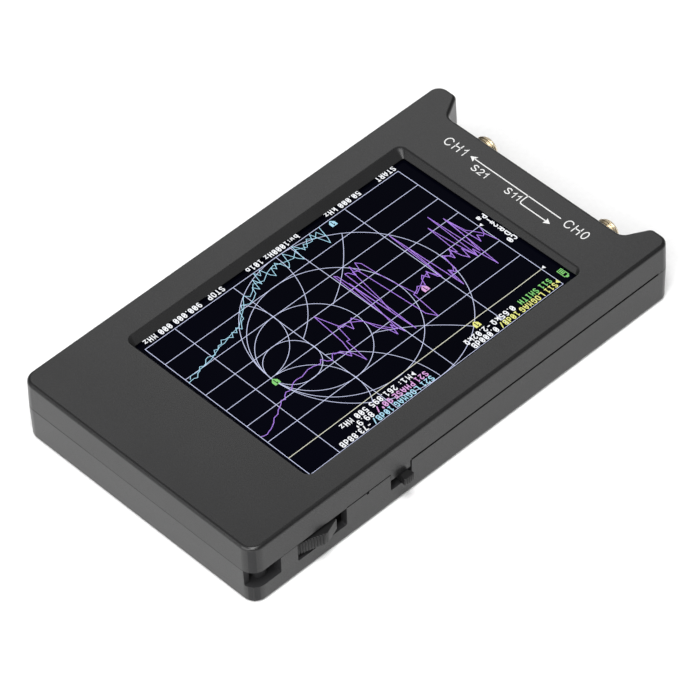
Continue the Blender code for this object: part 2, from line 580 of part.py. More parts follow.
for i, (x, y) in enumerate(CASE_BOSS, 1):
    screw(f"case_screw_{i}", x, y, 0.25, 1.2, 1.65, 14.6)
for i, (x, y) in enumerate(PCB_POST, 1):
    screw(f"pcb_screw_{i}", x, y, PCB_Z0 - 0.3 - 1.2, 1.2, 1.75, 14.6)

# ---------------------------------------------------------------- origin: bottom centre of the whole box
SHIFT = Vector((-(JOG_OUT - CASE_X) / 2, -(TIP_Y + CASE_Y0) / 2, 0)) * MM
for o in list(parts_col.objects) + list(cut_col.objects):
    if o.parent is None:
        o.location = o.location + SHIFT
bpy.context.view_layer.update()
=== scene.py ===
"""Looks of the handheld vector network analyzer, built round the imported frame.

Lengths are millimetres in the case's own coordinates, as in the CAD source, and
are moved and scaled once, when a piece's mesh is written.
"""
import math

import bmesh
import bpy
import numpy as np
from mathutils import Matrix, Vector


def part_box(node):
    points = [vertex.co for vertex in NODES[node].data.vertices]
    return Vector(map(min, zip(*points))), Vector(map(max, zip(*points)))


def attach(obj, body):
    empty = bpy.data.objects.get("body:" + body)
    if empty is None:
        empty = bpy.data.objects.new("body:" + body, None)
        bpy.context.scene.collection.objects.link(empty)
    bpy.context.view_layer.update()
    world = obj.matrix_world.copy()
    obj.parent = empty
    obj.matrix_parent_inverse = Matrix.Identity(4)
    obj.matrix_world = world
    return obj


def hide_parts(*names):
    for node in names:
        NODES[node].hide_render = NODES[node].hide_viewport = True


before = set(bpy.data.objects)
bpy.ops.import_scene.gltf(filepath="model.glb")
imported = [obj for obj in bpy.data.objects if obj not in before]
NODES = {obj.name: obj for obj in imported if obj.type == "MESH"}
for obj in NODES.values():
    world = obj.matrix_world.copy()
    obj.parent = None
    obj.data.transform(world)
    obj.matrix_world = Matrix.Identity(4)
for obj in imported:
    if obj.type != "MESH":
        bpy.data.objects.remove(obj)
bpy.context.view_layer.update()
scene = bpy.context.scene

MM = 0.001
low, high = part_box("front_shell")
SX = (low.x + high.x) / 2 / MM
SY = (low.y + high.y) / 2 / MM + 0.05

# ---------------------------------------------------------------- sizes, as in the CAD
CASE_X, CASE_Y0, TIP_Y, RECESS_Y = 37.2, -65.4, 65.3, 59.0
HORN_TIP_X, HORN_ROOT_X = 31.1, 27.5
CASE_H = 17.65
SKIN = 17.63             # the moulded top; the printing stands 0.018 proud of it
RIM_REAR, RIM_FRONT = 9.88, 9.93
SEAM_TOP = 10.15
WALL, FLOOR = 1.85, 1.6
ROOF_Z = 15.85
LIP_Z = 16.45
WIN_OUT = ((-29.0, -41.3), (29.68, -41.3), (29.30, 44.55), (-29.0, 44.55))
WIN_IN = ((-26.88, -40.54), (29.24, -40.69), (28.61, 43.45), (-26.20, 42.88))
GLASS_Z = 15.75
PORT_X, PORT_Z, PORT_FRONT, THREAD_R = 19.4, 9.9, 63.9, 3.17
PCB_Z1 = 10.7
CASE_BOSS = [(33.2, -60.4), (-33.2, -60.4), (-33.0, 60.6), (33.0, 60.6)]
PCB_POST = [(32.6, -32.0), (-32.6, -45.0), (-32.6, 47.5), (32.6, 47.5)]
SLOT = (-52.0, -37.3, 4.5)
JOG_SLOT = (-23.85, -17.45, 4.75)
JOG_TAB = (-23.80, -17.80, 8.0)
POCKET = (29.9, -63.6, -57.05, 5.15)
PRY = (-31.15, -30.45)

TO_Y = Matrix(((1, 0, 0, 0), (0, 0, 1, 0), (0, 1, 0, 0), (0, 0, 0, 1)))   # (x, z, y) -> (x, y, z)
TO_X = Matrix(((0, 0, 1, 0), (1, 0, 0, 0), (0, 1, 0, 0), (0, 0, 0, 1)))   # (y, z, x) -> (x, y, z)


# ---------------------------------------------------------------- node materials
class Shader:
    """A Principled material and small helpers to wire its textures."""

    def __init__(self, name, base, rough, metal=0.0, spec=0.5, ior=1.5):
        self.mat = bpy.data.materials.new(name)
        self.mat.use_nodes = True
        self.nt = self.mat.node_tree
        self.bsdf = self.nt.nodes["Principled BSDF"]
        self.base, self.rough = base, rough
        self.bsdf.inputs["Base Color"].default_value = (*base, 1)
        self.bsdf.inputs["Roughness"].default_value = rough
        self.bsdf.inputs["Metallic"].default_value = metal
        self.bsdf.inputs["Specular IOR Level"].default_value = spec
        self.bsdf.inputs["IOR"].default_value = ior
        self.mat.diffuse_color = (*base, 1)
        coord = self.nt.nodes.new("ShaderNodeTexCoord")
        self.place = coord.outputs["Object"]

    def node(self, kind, **values):
        n = self.nt.nodes.new(kind)
        for key, value in values.items():
            if key in n.inputs.keys():
                n.inputs[key].default_value = value
            else:
                setattr(n, key, value)
        return n

    def link(self, a, b):
        self.nt.links.new(a, b)

    def mapping(self, scale=(1, 1, 1), turn=(0, 0, 0)):
        m = self.nt.nodes.new("ShaderNodeMapping")
        m.inputs["Scale"].default_value = scale
        m.inputs["Rotation"].default_value = turn
        self.link(self.place, m.inputs["Vector"])
        return m.outputs["Vector"]

    def noise(self, scale, detail=2.0, rough=0.5, vector=None):
        n = self.node("ShaderNodeTexNoise", Scale=scale, Detail=detail, Roughness=rough)
        self.link(vector if vector is not None else self.place, n.inputs["Vector"])
        return n.outputs["Fac"]

    def remap(self, value, a, b, lo=0.3, hi=0.7):
        m = self.node("ShaderNodeMapRange")
        m.inputs["From Min"].default_value = lo
        m.inputs["From Max"].default_value = hi
        m.inputs["To Min"].default_value = a
        m.inputs["To Max"].default_value = b
        self.link(value, m.inputs["Value"])
        return m.outputs["Result"]

    def math(self, operation, a, b=None):
        m = self.node("ShaderNodeMath", operation=operation)
        for i, v in enumerate((a, b)):
            if v is None:
                continue
            if isinstance(v, (int, float)):
                m.inputs[i].default_value = v
            else:
                self.link(v, m.inputs[i])
        return m.outputs["Value"]

    def blend(self, factor, one, two):
        m = self.nt.nodes.new("ShaderNodeMix")
        m.data_type = 'RGBA'
        self.link(factor, m.inputs[0])
        for socket, c in ((m.inputs[6], one), (m.inputs[7], two)):
            if isinstance(c, tuple):
                socket.default_value = (*c, 1)
            else:
                self.link(c, socket)
        return m.outputs[2]

    def colour(self, out):
        self.link(out, self.bsdf.inputs["Base Color"])

    def roughness(self, out):
        self.link(out, self.bsdf.inputs["Roughness"])

    def bump(self, height, strength, distance, after=None):
        b = self.node("ShaderNodeBump", Strength=strength, Distance=distance)
        self.link(height, b.inputs["Height"])
        if after is not None:
            self.link(after, b.inputs["Normal"])
        self.link(b.outputs["Normal"], self.bsdf.inputs["Normal"])
        return b.outputs["Normal"]


def tint(c, k):
    return tuple(min(1.0, v * k) for v in c)


def moulded(name, base, rough, grain=5200, depth=0.10, blotch=0.10, spec=0.40):
    """Fine spark-eroded plastic: slow change of shade, grain in gloss and height."""
    s = Shader(name, base, rough, spec=spec)
    slow = s.noise(70, 3)
    s.colour(s.blend(s.remap(slow, 0, 1), tint(base, 1 - blotch), tint(base, 1 + blotch)))
    fine = s.noise(grain, 3, 0.6)
    s.roughness(s.remap(fine, rough - 0.05, rough + 0.05))
    s.bump(fine, depth, 0.00004)
    return s


def metal(name, base, rough, streak=(1, 1, 1), scale=900, depth=0.06):
    s = Shader(name, base, rough, metal=1.0)
    v = s.mapping(streak)
    n = s.noise(scale, 3, 0.6, v)
    s.colour(s.blend(s.remap(s.noise(160, 2), 0, 1), tint(base, 0.9), tint(base, 1.06)))
    s.roughness(s.remap(n, rough - 0.07, rough + 0.08))
    s.bump(n, depth, 0.00003)
    return s


def lit(name, rgb, strength, screen_door=0.16, other=None):
    """Light from the display: colour broken up by the pixel pitch."""
    s = Shader(name, (0.0, 0.0, 0.0), 0.35, spec=0.0)
    v = s.mapping((1 / 0.000174, 1 / 0.000174, 1))
    parts = s.node("ShaderNodeSeparateXYZ")
    s.link(v, parts.inputs[0])
    gx = s.math("LESS_THAN", s.math("FRACT", parts.outputs[0]), 0.2)
    gy = s.math("LESS_THAN", s.math("FRACT", parts.outputs[1]), 0.2)
    gap = s.math("MAXIMUM", gx, gy)
    level = s.remap(s.noise(2600, 1), 0, 1, 0.25, 0.75)
    full = s.blend(level, tint(rgb, 0.93), tint(rgb, 1.05))
    if other:
        full = s.blend(s.remap(s.noise(2900, 1), 0.36, 0.64), rgb, other)
    out = s.blend(gap, full, tint(rgb, 1 - screen_door))
    s.link(out, s.bsdf.inputs["Emission Color"])
    s.bsdf.inputs["Emission Strength"].default_value = strength
    s.mat.diffuse_color = (*tint(rgb, 1), 1)
    return s.mat


CASE = moulded("case_abs_black", (0.0108, 0.0108, 0.0111), 0.30, depth=0.05).mat
CASE_IN = moulded("case_abs_inside", (0.017, 0.017, 0.018), 0.60, depth=0.05, spec=0.25).mat
SLIDER = moulded("slider_nylon_black", (0.0095, 0.0095, 0.0098), 0.42, grain=4200, depth=0.06, spec=0.30).mat
INK = None
_s = Shader("label_ink_white", (0.62, 0.62, 0.62), 0.55, spec=0.3)
_n = _s.noise(5200, 3, 0.7)
_s.colour(_s.blend(_s.remap(_n, 0, 1), (0.60, 0.60, 0.60), (0.70, 0.70, 0.69)))
_s.bump(_n, 0.12, 0.00002)
INK = _s.mat

_s = Shader("touch_glass_black", (0.0006, 0.0007, 0.0024), 0.12, spec=0.006)
_n = _s.noise(30, 4)
_s.roughness(_s.remap(_n, 0.12, 0.22))
_s.colour(_s.blend(_s.remap(_s.noise(14, 2), 0, 1), (0.0005, 0.0006, 0.0020), (0.0008, 0.0009, 0.0032)))
GLASS = _s.mat

_s = Shader("lcd_glass_layer", (0.03, 0.03, 0.035), 0.2)
_s.roughness(_s.remap(_s.noise(60, 3), 0.15, 0.3))
LCD = _s.mat
BACK = moulded("backlight_white_pc", (0.75, 0.75, 0.74), 0.42, grain=2600, blotch=0.04).mat

_s = Shader("gasket_foam", (0.012, 0.012, 0.012), 0.95, spec=0.1)
_v = _s.node("ShaderNodeTexVoronoi", Scale=4200.0)
_s.link(_s.place, _v.inputs["Vector"])
_s.bump(_v.outputs["Distance"], 0.5, 0.0001)
_s.colour(_s.blend(_v.outputs["Distance"], (0.006, 0.006, 0.006), (0.02, 0.02, 0.02)))
FOAM = _s.mat

GOLD = metal("gold_plating", (0.80, 0.69, 0.50), 0.36, scale=700, depth=0.01).mat
TINNED = metal("tinned_steel", (0.64, 0.63, 0.61), 0.30, streak=(1, 0.12, 1), scale=1500).mat
STEEL = metal("screw_steel_black", (0.055, 0.055, 0.06), 0.38, scale=2400, depth=0.1).mat

_s = Shader("ptfe_white", (0.86, 0.86, 0.83), 0.5)
_n = _s.noise(1400, 3)
_s.colour(_s.blend(_s.remap(_n, 0, 1), (0.80, 0.80, 0.76), (0.90, 0.90, 0.87)))
_s.bump(_n, 0.08, 0.00003)
PTFE = _s.mat

_s = Shader("solder_mask_black", (0.012, 0.018, 0.03), 0.32)
_b = _s.node("ShaderNodeTexBrick", Scale=240.0)
_b.inputs["Color1"].default_value = (0.010, 0.015, 0.026, 1)
_b.inputs["Color2"].default_value = (0.014, 0.022, 0.034, 1)
_b.inputs["Mortar"].default_value = (0.03, 0.045, 0.06, 1)
_b.inputs["Mortar Size"].default_value = 0.03
_s.link(_s.place, _b.inputs["Vector"])
_s.colour(_b.outputs["Color"])
_s.bump(_b.outputs["Fac"], 0.2, 0.00003)
BOARD = _s.mat
CHIP = moulded("chip_epoxy", (0.016, 0.016, 0.017), 0.58, grain=6000, depth=0.2).mat
NYLON = moulded("connector_nylon", (0.72, 0.70, 0.64), 0.48, grain=3000, blotch=0.05).mat
SWITCH = moulded("switch_body_pa", (0.02, 0.02, 0.021), 0.5, grain=3000).mat
WIRE_R = moulded("wire_pvc_red", (0.45, 0.02, 0.02), 0.42, grain=2000, blotch=0.05).mat
WIRE_B = moulded("wire_pvc_black", (0.02, 0.02, 0.02), 0.42, grain=2000, blotch=0.05).mat

_s = Shader("flex_polyimide", (0.34, 0.13, 0.03), 0.36)
_w = _s.node("ShaderNodeTexWave", Scale=420.0, Distortion=0.0)
_w.bands_direction = 'X'
_s.link(_s.place, _w.inputs["Vector"])
_s.colour(_s.blend(_w.outputs["Fac"], (0.22, 0.08, 0.02), (0.45, 0.2, 0.05)))
_s.bump(_w.outputs["Fac"], 0.2, 0.00002)
FLEX = _s.mat

_s = Shader("battery_foil", (0.5, 0.51, 0.53), 0.34, metal=0.85)
_n = _s.noise(90, 5, 0.65)
_s.roughness(_s.remap(_n, 0.25, 0.45))
_s.bump(_n, 0.35, 0.0004)
POUCH = _s.mat

WHITE = lit("screen_white", (0.93, 0.95, 1.0), 1.15)
GREY = lit("screen_grid", (0.76, 0.80, 1.0), 1.15, 0.32, (0.46, 0.52, 0.84))
YELLOW = lit("screen_yellow", (0.90, 0.92, 0.22), 1.0, 0.16, (0.95, 0.95, 0.42))
CREAM = lit("screen_trace_cream", (0.92, 0.92, 0.74), 0.92)
CYAN = lit("screen_cyan", (0.30, 0.66, 0.86), 1.1, 0.16, (0.66, 0.88, 0.98))
GREEN = lit("screen_green", (0.22, 0.80, 0.16), 0.85, 0.16, (0.50, 0.92, 0.42))
PINK = lit("screen_pink", (0.82, 0.36, 0.86), 0.95, 0.16, (0.94, 0.66, 0.94))
PURPLE = lit("screen_purple", (0.20, 0.06, 0.66), 1.1, 0.10, (0.80, 0.52, 0.98))
_s = Shader("screen_dark", (0.004, 0.004, 0.006), 0.3, spec=0.05)
_s.colour(_s.blend(_s.noise(2600, 1), (0.003, 0.003, 0.004), (0.008, 0.008, 0.01)))
DARK = _s.mat


# ---------------------------------------------------------------- mesh helpers
def write(bm, name, mat, smooth=35.0, weighted=False):
    """Turns the bmesh, in case millimetres, into an object in the frame's metres."""
    bmesh.ops.recalc_face_normals(bm, faces=bm.faces)
    for v in bm.verts:
        v.co = Vector(((v.co.x + SX) * MM, (v.co.y + SY) * MM, v.co.z * MM))
    mesh = bpy.data.meshes.new(name)
    bm.to_mesh(mesh)
    bm.free()
    obj = bpy.data.objects.new(name, mesh)
    scene.collection.objects.link(obj)
    if mat is not None:
        mesh.materials.append(mat)
    if smooth:
        mesh.shade_smooth()
        mesh.set_sharp_from_angle(angle=math.radians(smooth))
    if weighted:
        weigh(obj)
    return obj


def weigh(obj):
    w = obj.modifiers.new("weighted", 'WEIGHTED_NORMAL')
    w.mode = 'FACE_AREA'
    w.weight = 100
    w.keep_sharp = True
    settle(obj)


def settle(obj):
    """Applies the modifiers."""
    graph = bpy.context.evaluated_depsgraph_get()
    mesh = bpy.data.meshes.new_from_object(obj.evaluated_get(graph), depsgraph=graph)
    obj.modifiers.clear()
    old, name = obj.data, obj.data.name
    obj.data = mesh
    bpy.data.meshes.remove(old)
    mesh.name = name


def shape(obj, others, operation='DIFFERENCE'):
    """Cuts or joins the others, one after another, and throws them away."""
    for other in others:
        m = obj.modifiers.new("op", 'BOOLEAN')
        m.operation = operation
        m.solver = 'EXACT'
        m.object = other
        settle(obj)
        mesh = other.data
        bpy.data.objects.remove(other)
        bpy.data.meshes.remove(mesh)


def tidy(obj, smooth=35.0):
    """Merges slivers left by the cuts, drops loose bits and sets the shading."""
    bm = bmesh.new()
    bm.from_mesh(obj.data)
    bmesh.ops.remove_doubles(bm, verts=bm.verts, dist=0.000002)
    bmesh.ops.dissolve_degenerate(bm, edges=bm.edges, dist=0.000001)
    loose = [v for v in bm.verts if not v.link_faces]
    bmesh.ops.delete(bm, geom=loose, context='VERTS')
    bmesh.ops.recalc_face_normals(bm, faces=bm.faces)
    bm.to_mesh(obj.data)
    bm.free()
    obj.data.shade_smooth()
    obj.data.set_sharp_from_angle(angle=math.radians(smooth))
    weigh(obj)


def rounded(corners, radii, inset=0.0, steps=10, least=0.3):
    """Outline of a counter-clockwise polygon, moved in by inset, with round corners."""
    n = len(corners)
    lines = []
    for i in range(n):
        p, q = Vector(corners[i]), Vector(corners[(i + 1) % n])
        t = (q - p).normalized()
        lines.append((p + Vector((-t.y, t.x)) * inset, t))
    out = []
    for i in range(n):
        (p0, t0), (p1, t1) = lines[i - 1], lines[i]
        cross = t0.x * t1.y - t0.y * t1.x
        s = ((p1.x - p0.x) * t1.y - (p1.y - p0.y) * t1.x) / cross
        c = p0 + t0 * s
        r = max(radii[i] + (-inset if cross > 0 else inset), least)
        turn = math.atan2(abs(cross), t0.dot(t1))
        side = 1 if cross > 0 else -1
        start = c - t0 * (r * math.tan(turn / 2))
        centre = start + Vector((-t0.y, t0.x)) * r * side
        first = start - centre
        for k in range(steps + 1):
            a = side * turn * k / steps
            out.append(centre + Vector((first.x * math.cos(a) - first.y * math.sin(a),
                                        first.x * math.sin(a) + first.y * math.cos(a))))
    return out


def rect(x0, x1, y0, y1):
    return [(x0, y0), (x1, y0), (x1, y1), (x0, y1)]


def loft(bm, rings, closed=False):
    """Skin over rings of equal point counts, each ring a list of (x, y, z)."""
    rows = [[bm.verts.new(p) for p in ring] for ring in rings]
    n = len(rows[0])
    pairs = list(zip(rows, rows[1:])) + ([(rows[-1], rows[0])] if closed else [])
    for a, b in pairs:
        for i in range(n):
            j = (i + 1) % n
            bm.faces.new((a[i], a[j], b[j], b[i]))
    if not closed:
        bm.faces.new(rows[0][::-1])
        bm.faces.new(rows[-1])
    return rows


def level(points, z):
    return [(p.x, p.y, z) for p in points]


def slab(name, points, z0, z1):
    bm = bmesh.new()
    loft(bm, [level(points, z0), level(points, z1)])
    return write(bm, name, None, 0)


def block(name, x0, x1, y0, y1, z0, z1, r=0.0):
    if r:
        return slab(name, rounded(rect(x0, x1, y0, y1), [r] * 4, steps=4, least=0.02), z0, z1)
    return slab(name, [Vector(p) for p in rect(x0, x1, y0, y1)], z0, z1)


def circle(x, y, r, n=48):
    return [Vector((x + r * math.cos(2 * math.pi * k / n), y + r * math.sin(2 * math.pi * k / n))) for k in range(n)]


def pin(name, x, y, r, z0, z1, n=40):
    return slab(name, circle(x, y, r, n), z0, z1)


def across(name, outline_xz, y0, y1):
    """A prism along Y from an outline in (x, z)."""
    bm = bmesh.new()
    loft(bm, [level(outline_xz, y0), level(outline_xz, y1)])
    bmesh.ops.transform(bm, matrix=TO_Y, verts=bm.verts)
    return write(bm, name, None, 0)


def side_cut(name, y0, y1, z0, z1, x0, x_edge, x1, flare, r=0.45):
    """An opening through the +X wall, with its outer edge broken by a small flare."""
    bm = bmesh.new()
    rings = []
    for x, grow in ((x0, 0.0), (x_edge - flare, 0.0), (x_edge - flare * 0.45, flare * 0.16), (x_edge - flare * 0.12, flare * 0.5),
                    (x_edge + 0.02, flare), (x1, flare)):
        ring = rounded(rect(y0 - grow, y1 + grow, z0 - grow, z1), [r, r, 0.05, 0.05], steps=5, least=0.02)
        rings.append(level(ring, x))
    loft(bm, rings)
    bmesh.ops.transform(bm, matrix=TO_X, verts=bm.verts)
    return write(bm, name, None, 0)


def piece(obj, body, replaces=()):
    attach(obj, body)
    if replaces:
        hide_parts(*replaces)
    return obj


# ---------------------------------------------------------------- camera
CAM_AT = Vector((582.490 + SX, -529.706 + SY, 837.205)) * MM
ROWS = ((0.697241, 0.716101, -0.032471), (0.505434, -0.523234, -0.686122), (-0.508322, 0.461981, -0.726762))
cam_data = bpy.data.cameras.new("photo_camera")
cam_data.sensor_width = 36.0
cam_data.lens = 5097.51 / 700 * 36.0
cam_data.clip_start = 0.05
cam_data.clip_end = 30
camera = bpy.data.objects.new("photo_camera", cam_data)
scene.collection.objects.link(camera)
turn = Matrix((ROWS[0], [-v for v in ROWS[1]], [-v for v in ROWS[2]])).transposed()
camera.matrix_world = Matrix.Translation(CAM_AT) @ turn.to_4x4()
scene.camera = camera

# ---------------------------------------------------------------- shells
CORNERS = [(-CASE_X, CASE_Y0), (CASE_X, CASE_Y0), (CASE_X, TIP_Y), (HORN_TIP_X, TIP_Y),
           (HORN_ROOT_X, RECESS_Y), (-HORN_ROOT_X, RECESS_Y), (-HORN_TIP_X, TIP_Y), (-CASE_X, TIP_Y)]
RADII = [3.6, 3.6, 3.0, 1.8, 2.2, 2.2, 1.8, 3.0]


def outline(inset):
    return rounded(CORNERS, RADII, inset, 12)


def window_ring(t, grow=0.0):
    """The window's outline, t = 0 at the lip and 1 at the top edge."""
    pts = [(a[0] + (b[0] - a[0]) * t, a[1] + (b[1] - a[1]) * t) for a, b in zip(WIN_IN, WIN_OUT)]
    return rounded(pts, [0.6 + 1.3 * t] * 4, -grow, 8)


def inside(shell):
    """The unpolished tool side: every face that lies behind the outer walls, lip and roof."""
    shell.data.materials.append(CASE_IN)
    for f in shell.data.polygons:
        c = f.center / MM
        x, y, z = c.x - SX, c.y - SY, c.z
        n = f.normal
        jamb = (abs(n.y) > 0.9 and y > CASE_Y0 + 0.8 and x < CASE_X - 0.05) or (n.x > 0.9 and x < CASE_X - 0.8)
        notch = x > 29 and y < -15 and 4.3 < z < RIM_REAR - 0.3 and (n.z > 0.7 or jamb)
        if notch or abs(x) < CASE_X - 0.45 and CASE_Y0 + 0.45 < y < RECESS_Y - 0.45 and 0.6 < z < 16.1:
            f.material_index = 1


# front shell: drafted wall, rolled top edge
bm = bmesh.new()
R = 0.9
rings = [level(outline(0.05), RIM_FRONT), level(outline(0.0), RIM_FRONT + 0.05), level(outline(0.01), SEAM_TOP + 0.3)]
for k in range(0, 11):
    a = math.pi / 2 * k / 10
    rings.append(level(outline(0.13 + R * (1 - math.cos(a))), SKIN - R + R * math.sin(a)))
loft(bm, rings)
front = write(bm, "case_front", CASE)
shape(front, [slab("c", outline(WALL), RIM_FRONT - 1.0, ROOF_Z)])
adds = [pin("c", x, y, 2.3, SEAM_TOP, ROOF_Z + 0.4) for x, y in CASE_BOSS]
adds += [pin("c", x, y, 1.9, PCB_Z1 + 0.3, ROOF_Z + 0.4) for x, y in PCB_POST]
shape(front, adds, 'UNION')
# tab over the jog opening, flush with the wall
bm = bmesh.new()
ring0 = rounded(rect(JOG_TAB[0], JOG_TAB[1], JOG_TAB[2], SEAM_TOP + 1.0), [0.25, 0.25, 0.05, 0.05], 0.08, 3, 0.02)
ring1 = rounded(rect(JOG_TAB[0], JOG_TAB[1], JOG_TAB[2], SEAM_TOP + 1.0), [0.25, 0.25, 0.05, 0.05], 0.0, 3, 0.02)
loft(bm, [level(ring1, CASE_X - WALL + 0.2), level(ring1, CASE_X - 0.09), level(ring0, CASE_X - 0.015)])
bmesh.ops.transform(bm, matrix=TO_X, verts=bm.verts)
tab = write(bm, "jog_tab", None, 0)
# window: lip, slope and rolled top edge
bm = bmesh.new()
rings = [level(window_ring(-0.02), LIP_Z - 1.0), level(window_ring(0.0), LIP_Z)]
slope_end = 0.80
z_of = lambda t: LIP_Z + (SKIN - LIP_Z) * t
rings.append(level(window_ring(0.4), z_of(0.4)))
for k in range(0, 9):
    s = k / 8
    t = (1 - s) ** 2 * slope_end + 2 * s * (1 - s) * 1.0 + s * s * 1.0
    grow = s * s * 0.34
    z = (1 - s) ** 2 * z_of(slope_end) + 2 * s * (1 - s) * SKIN + s * s * SKIN
    rings.append(level(window_ring(t, grow), z + (0.0004 if k == 8 else 0)))
rings.append(level(window_ring(1.0, 0.36), SKIN + 0.6))
loft(bm, rings)
window = write(bm, "c", None, 0)
# seam: open along the long sides, nearly closed at the short end
seams = [block("c", CASE_X - 0.7, CASE_X + 1, -37.2, JOG_SLOT[0], RIM_FRONT - 0.5, SEAM_TOP + 0.02, 0),
         block("c", CASE_X - 0.7, CASE_X + 1, JOG_SLOT[1], 61.0, RIM_FRONT - 0.5, SEAM_TOP + 0.14, 0),
         block("c", -CASE_X - 1, -CASE_X + 0.7, -62.6, 61.0, RIM_FRONT - 0.5, SEAM_TOP - 0.06, 0),
         block("c", -33.4, -16.0, CASE_Y0 - 1, CASE_Y0 + 0.6, RIM_FRONT - 0.5, RIM_FRONT + 0.09, 0),
         block("c", -16.0, 33.0, CASE_Y0 - 1, CASE_Y0 + 0.6, RIM_FRONT - 0.5, RIM_FRONT + 0.04, 0)]
holes = [pin("c", x, y, 1.1, SEAM_TOP - 2, 15.2, 24) for x, y in CASE_BOSS + PCB_POST]
shape(front, seams)
shape(front, [tab], 'UNION')
shape(front, holes + [window, block("c", -30.6, 30.6, -43.2, 46.4, ROOF_Z - 0.6, 16.28)])


def port_cutters():
    return [across("c", [Vector((s * PORT_X + 3.55 * math.cos(2 * math.pi * k / 48), PORT_Z + 3.55 * math.sin(2 * math.pi * k / 48)))
                         for k in range(48)], 55.5, 61.0) for s in (-1, 1)]


shape(front, port_cutters())
tidy(front)
inside(front)
piece(front, "chassis", ("front_shell",))

# rear shell: rolled bottom edge, rim notches, strap pocket, screw sinks
bm = bmesh.new()
R = 1.0
rings = []
for k in range(0, 11):
    a = math.pi / 2 * k / 10
    rings.append(level(outline(0.21 + R * (1 - math.sin(a))), R - R * math.cos(a)))
rings += [level(outline(0.0), RIM_REAR - 0.06), level(outline(0.05), RIM_REAR)]
loft(bm, rings)
rear = write(bm, "case_rear", CASE)
shape(rear, [slab("c", outline(WALL + 0.1), FLOOR, RIM_REAR + 1)])
shape(rear, [pin("c", x, y, 2.3 if i == 0 else 2.6, FLOOR - 0.8, RIM_REAR) for i, (x, y) in enumerate(CASE_BOSS)]
      + [block("c", POCKET[0] - 1.3, CASE_X - 1.0, CASE_Y0 + 1.0, POCKET[2] + 1.3, FLOOR - 0.8, RIM_REAR)], 'UNION')
bm = bmesh.new()
pocket_rings = []
for z, grow in ((POCKET[3], -0.12), (POCKET[3] + 0.14, 0.0), (RIM_REAR + 1, 0.0)):
    pts = rounded([(POCKET[0], POCKET[1]), (34.1, POCKET[1]), (34.1, CASE_Y0 - 2), (CASE_X + 2, CASE_Y0 - 2),
                   (CASE_X + 2, POCKET[2]), (POCKET[0], POCKET[2])], [1.2, 0.35, 0.35, 0.35, 0.35, 1.2], -grow, 4, 0.05)
    pocket_rings.append(level(pts, z))
loft(bm, pocket_rings)
pocket = write(bm, "c", None, 0)
shape(pocket, [pin("c", *CASE_BOSS[0], 2.0, POCKET[3] - 1, RIM_REAR + 2)])
shape(rear, [pocket])
shape(rear, [block("c", x0, x1, y0, y1, FLOOR - 0.4, 5.0) for x0, x1, y0, y1 in
             ((-26.8, -25.75, -49.0, 15.5), (25.75, 26.7, -49.0, 15.5), (-26.0, 26.0, -50.1, -48.9), (-26.0, 6.0, 15.3, 16.5))], 'UNION')
cuts = []
for i, (x, y) in enumerate(CASE_BOSS):
    cuts.append(pin("c", x, y, 1.1, -1, RIM_REAR + 1, 24))
    bm = bmesh.new()
    r = 2.05 if i else 1.95
    loft(bm, [level(circle(x, y, r + 0.55), -0.4), level(circle(x, y, r + 0.14), 0.0), level(circle(x, y, r), 0.16), level(circle(x, y, r), 1.75)])
    cuts.append(write(bm, "c", None, 0))
shape(rear, cuts)
usb = rounded(rect(-4.85, 4.85, 5.25, 9.15), [1.9] * 4, steps=8)
shape(rear, [side_cut("c", SLOT[0], SLOT[1], SLOT[2], RIM_REAR + 1, CASE_X - 4, CASE_X, CASE_X + 2, 0.16),
             side_cut("c", JOG_SLOT[0], JOG_SLOT[1], JOG_SLOT[2], RIM_REAR + 1, CASE_X - 4, CASE_X, CASE_X + 2, 0.14),
             block("c", CASE_X - 0.7, CASE_X + 2, JOG_SLOT[1] - 0.05, 61.0, RIM_REAR - 0.2, RIM_REAR + 1),
             block("c", CASE_X - 0.7, CASE_X + 2, PRY[0], PRY[1], RIM_REAR - 0.6, RIM_REAR + 1)]
      + port_cutters() + [across("c", usb, 56.0, 61.0)])
tidy(rear)
inside(rear)
piece(rear, "chassis", ("rear_shell",))


# ---------------------------------------------------------------- printed lettering
def offset_line(points, width, closed):
    """Left and right sides of a line of constant width, with mitred joints."""
    P = [Vector(p) for p in points]
    n = len(P)
    left, right = [], []
    for i, p in enumerate(P):
        before = P[i - 1] if (closed or i > 0) else None
        after = P[(i + 1) % n] if (closed or i < n - 1) else None
        d0 = (p - before).normalized() if before is not None else (after - p).normalized()
        d1 = (after - p).normalized() if after is not None else d0
        n0, n1 = Vector((-d0.y, d0.x)), Vector((-d1.y, d1.x))
        m = n0 + n1
        m = n0 if m.length < 1e-6 else m.normalized()
        k = width / 2 / max(m.dot(n0), 0.6)
        left.append(p + m * k)
        right.append(p - m * k)
    return left, right


def round_end(left, right, start, steps=6):
    """Points of a half circle that closes the stroke at one end."""
    a, b = (left, right) if start else (right, left)
    c = (a + b) / 2
    first = a - c
    return [c + Vector((first.x * math.cos(t) - first.y * math.sin(t), first.x * math.sin(t) + first.y * math.cos(t)))
            for t in [math.pi * k / steps for k in range(1, steps)]]


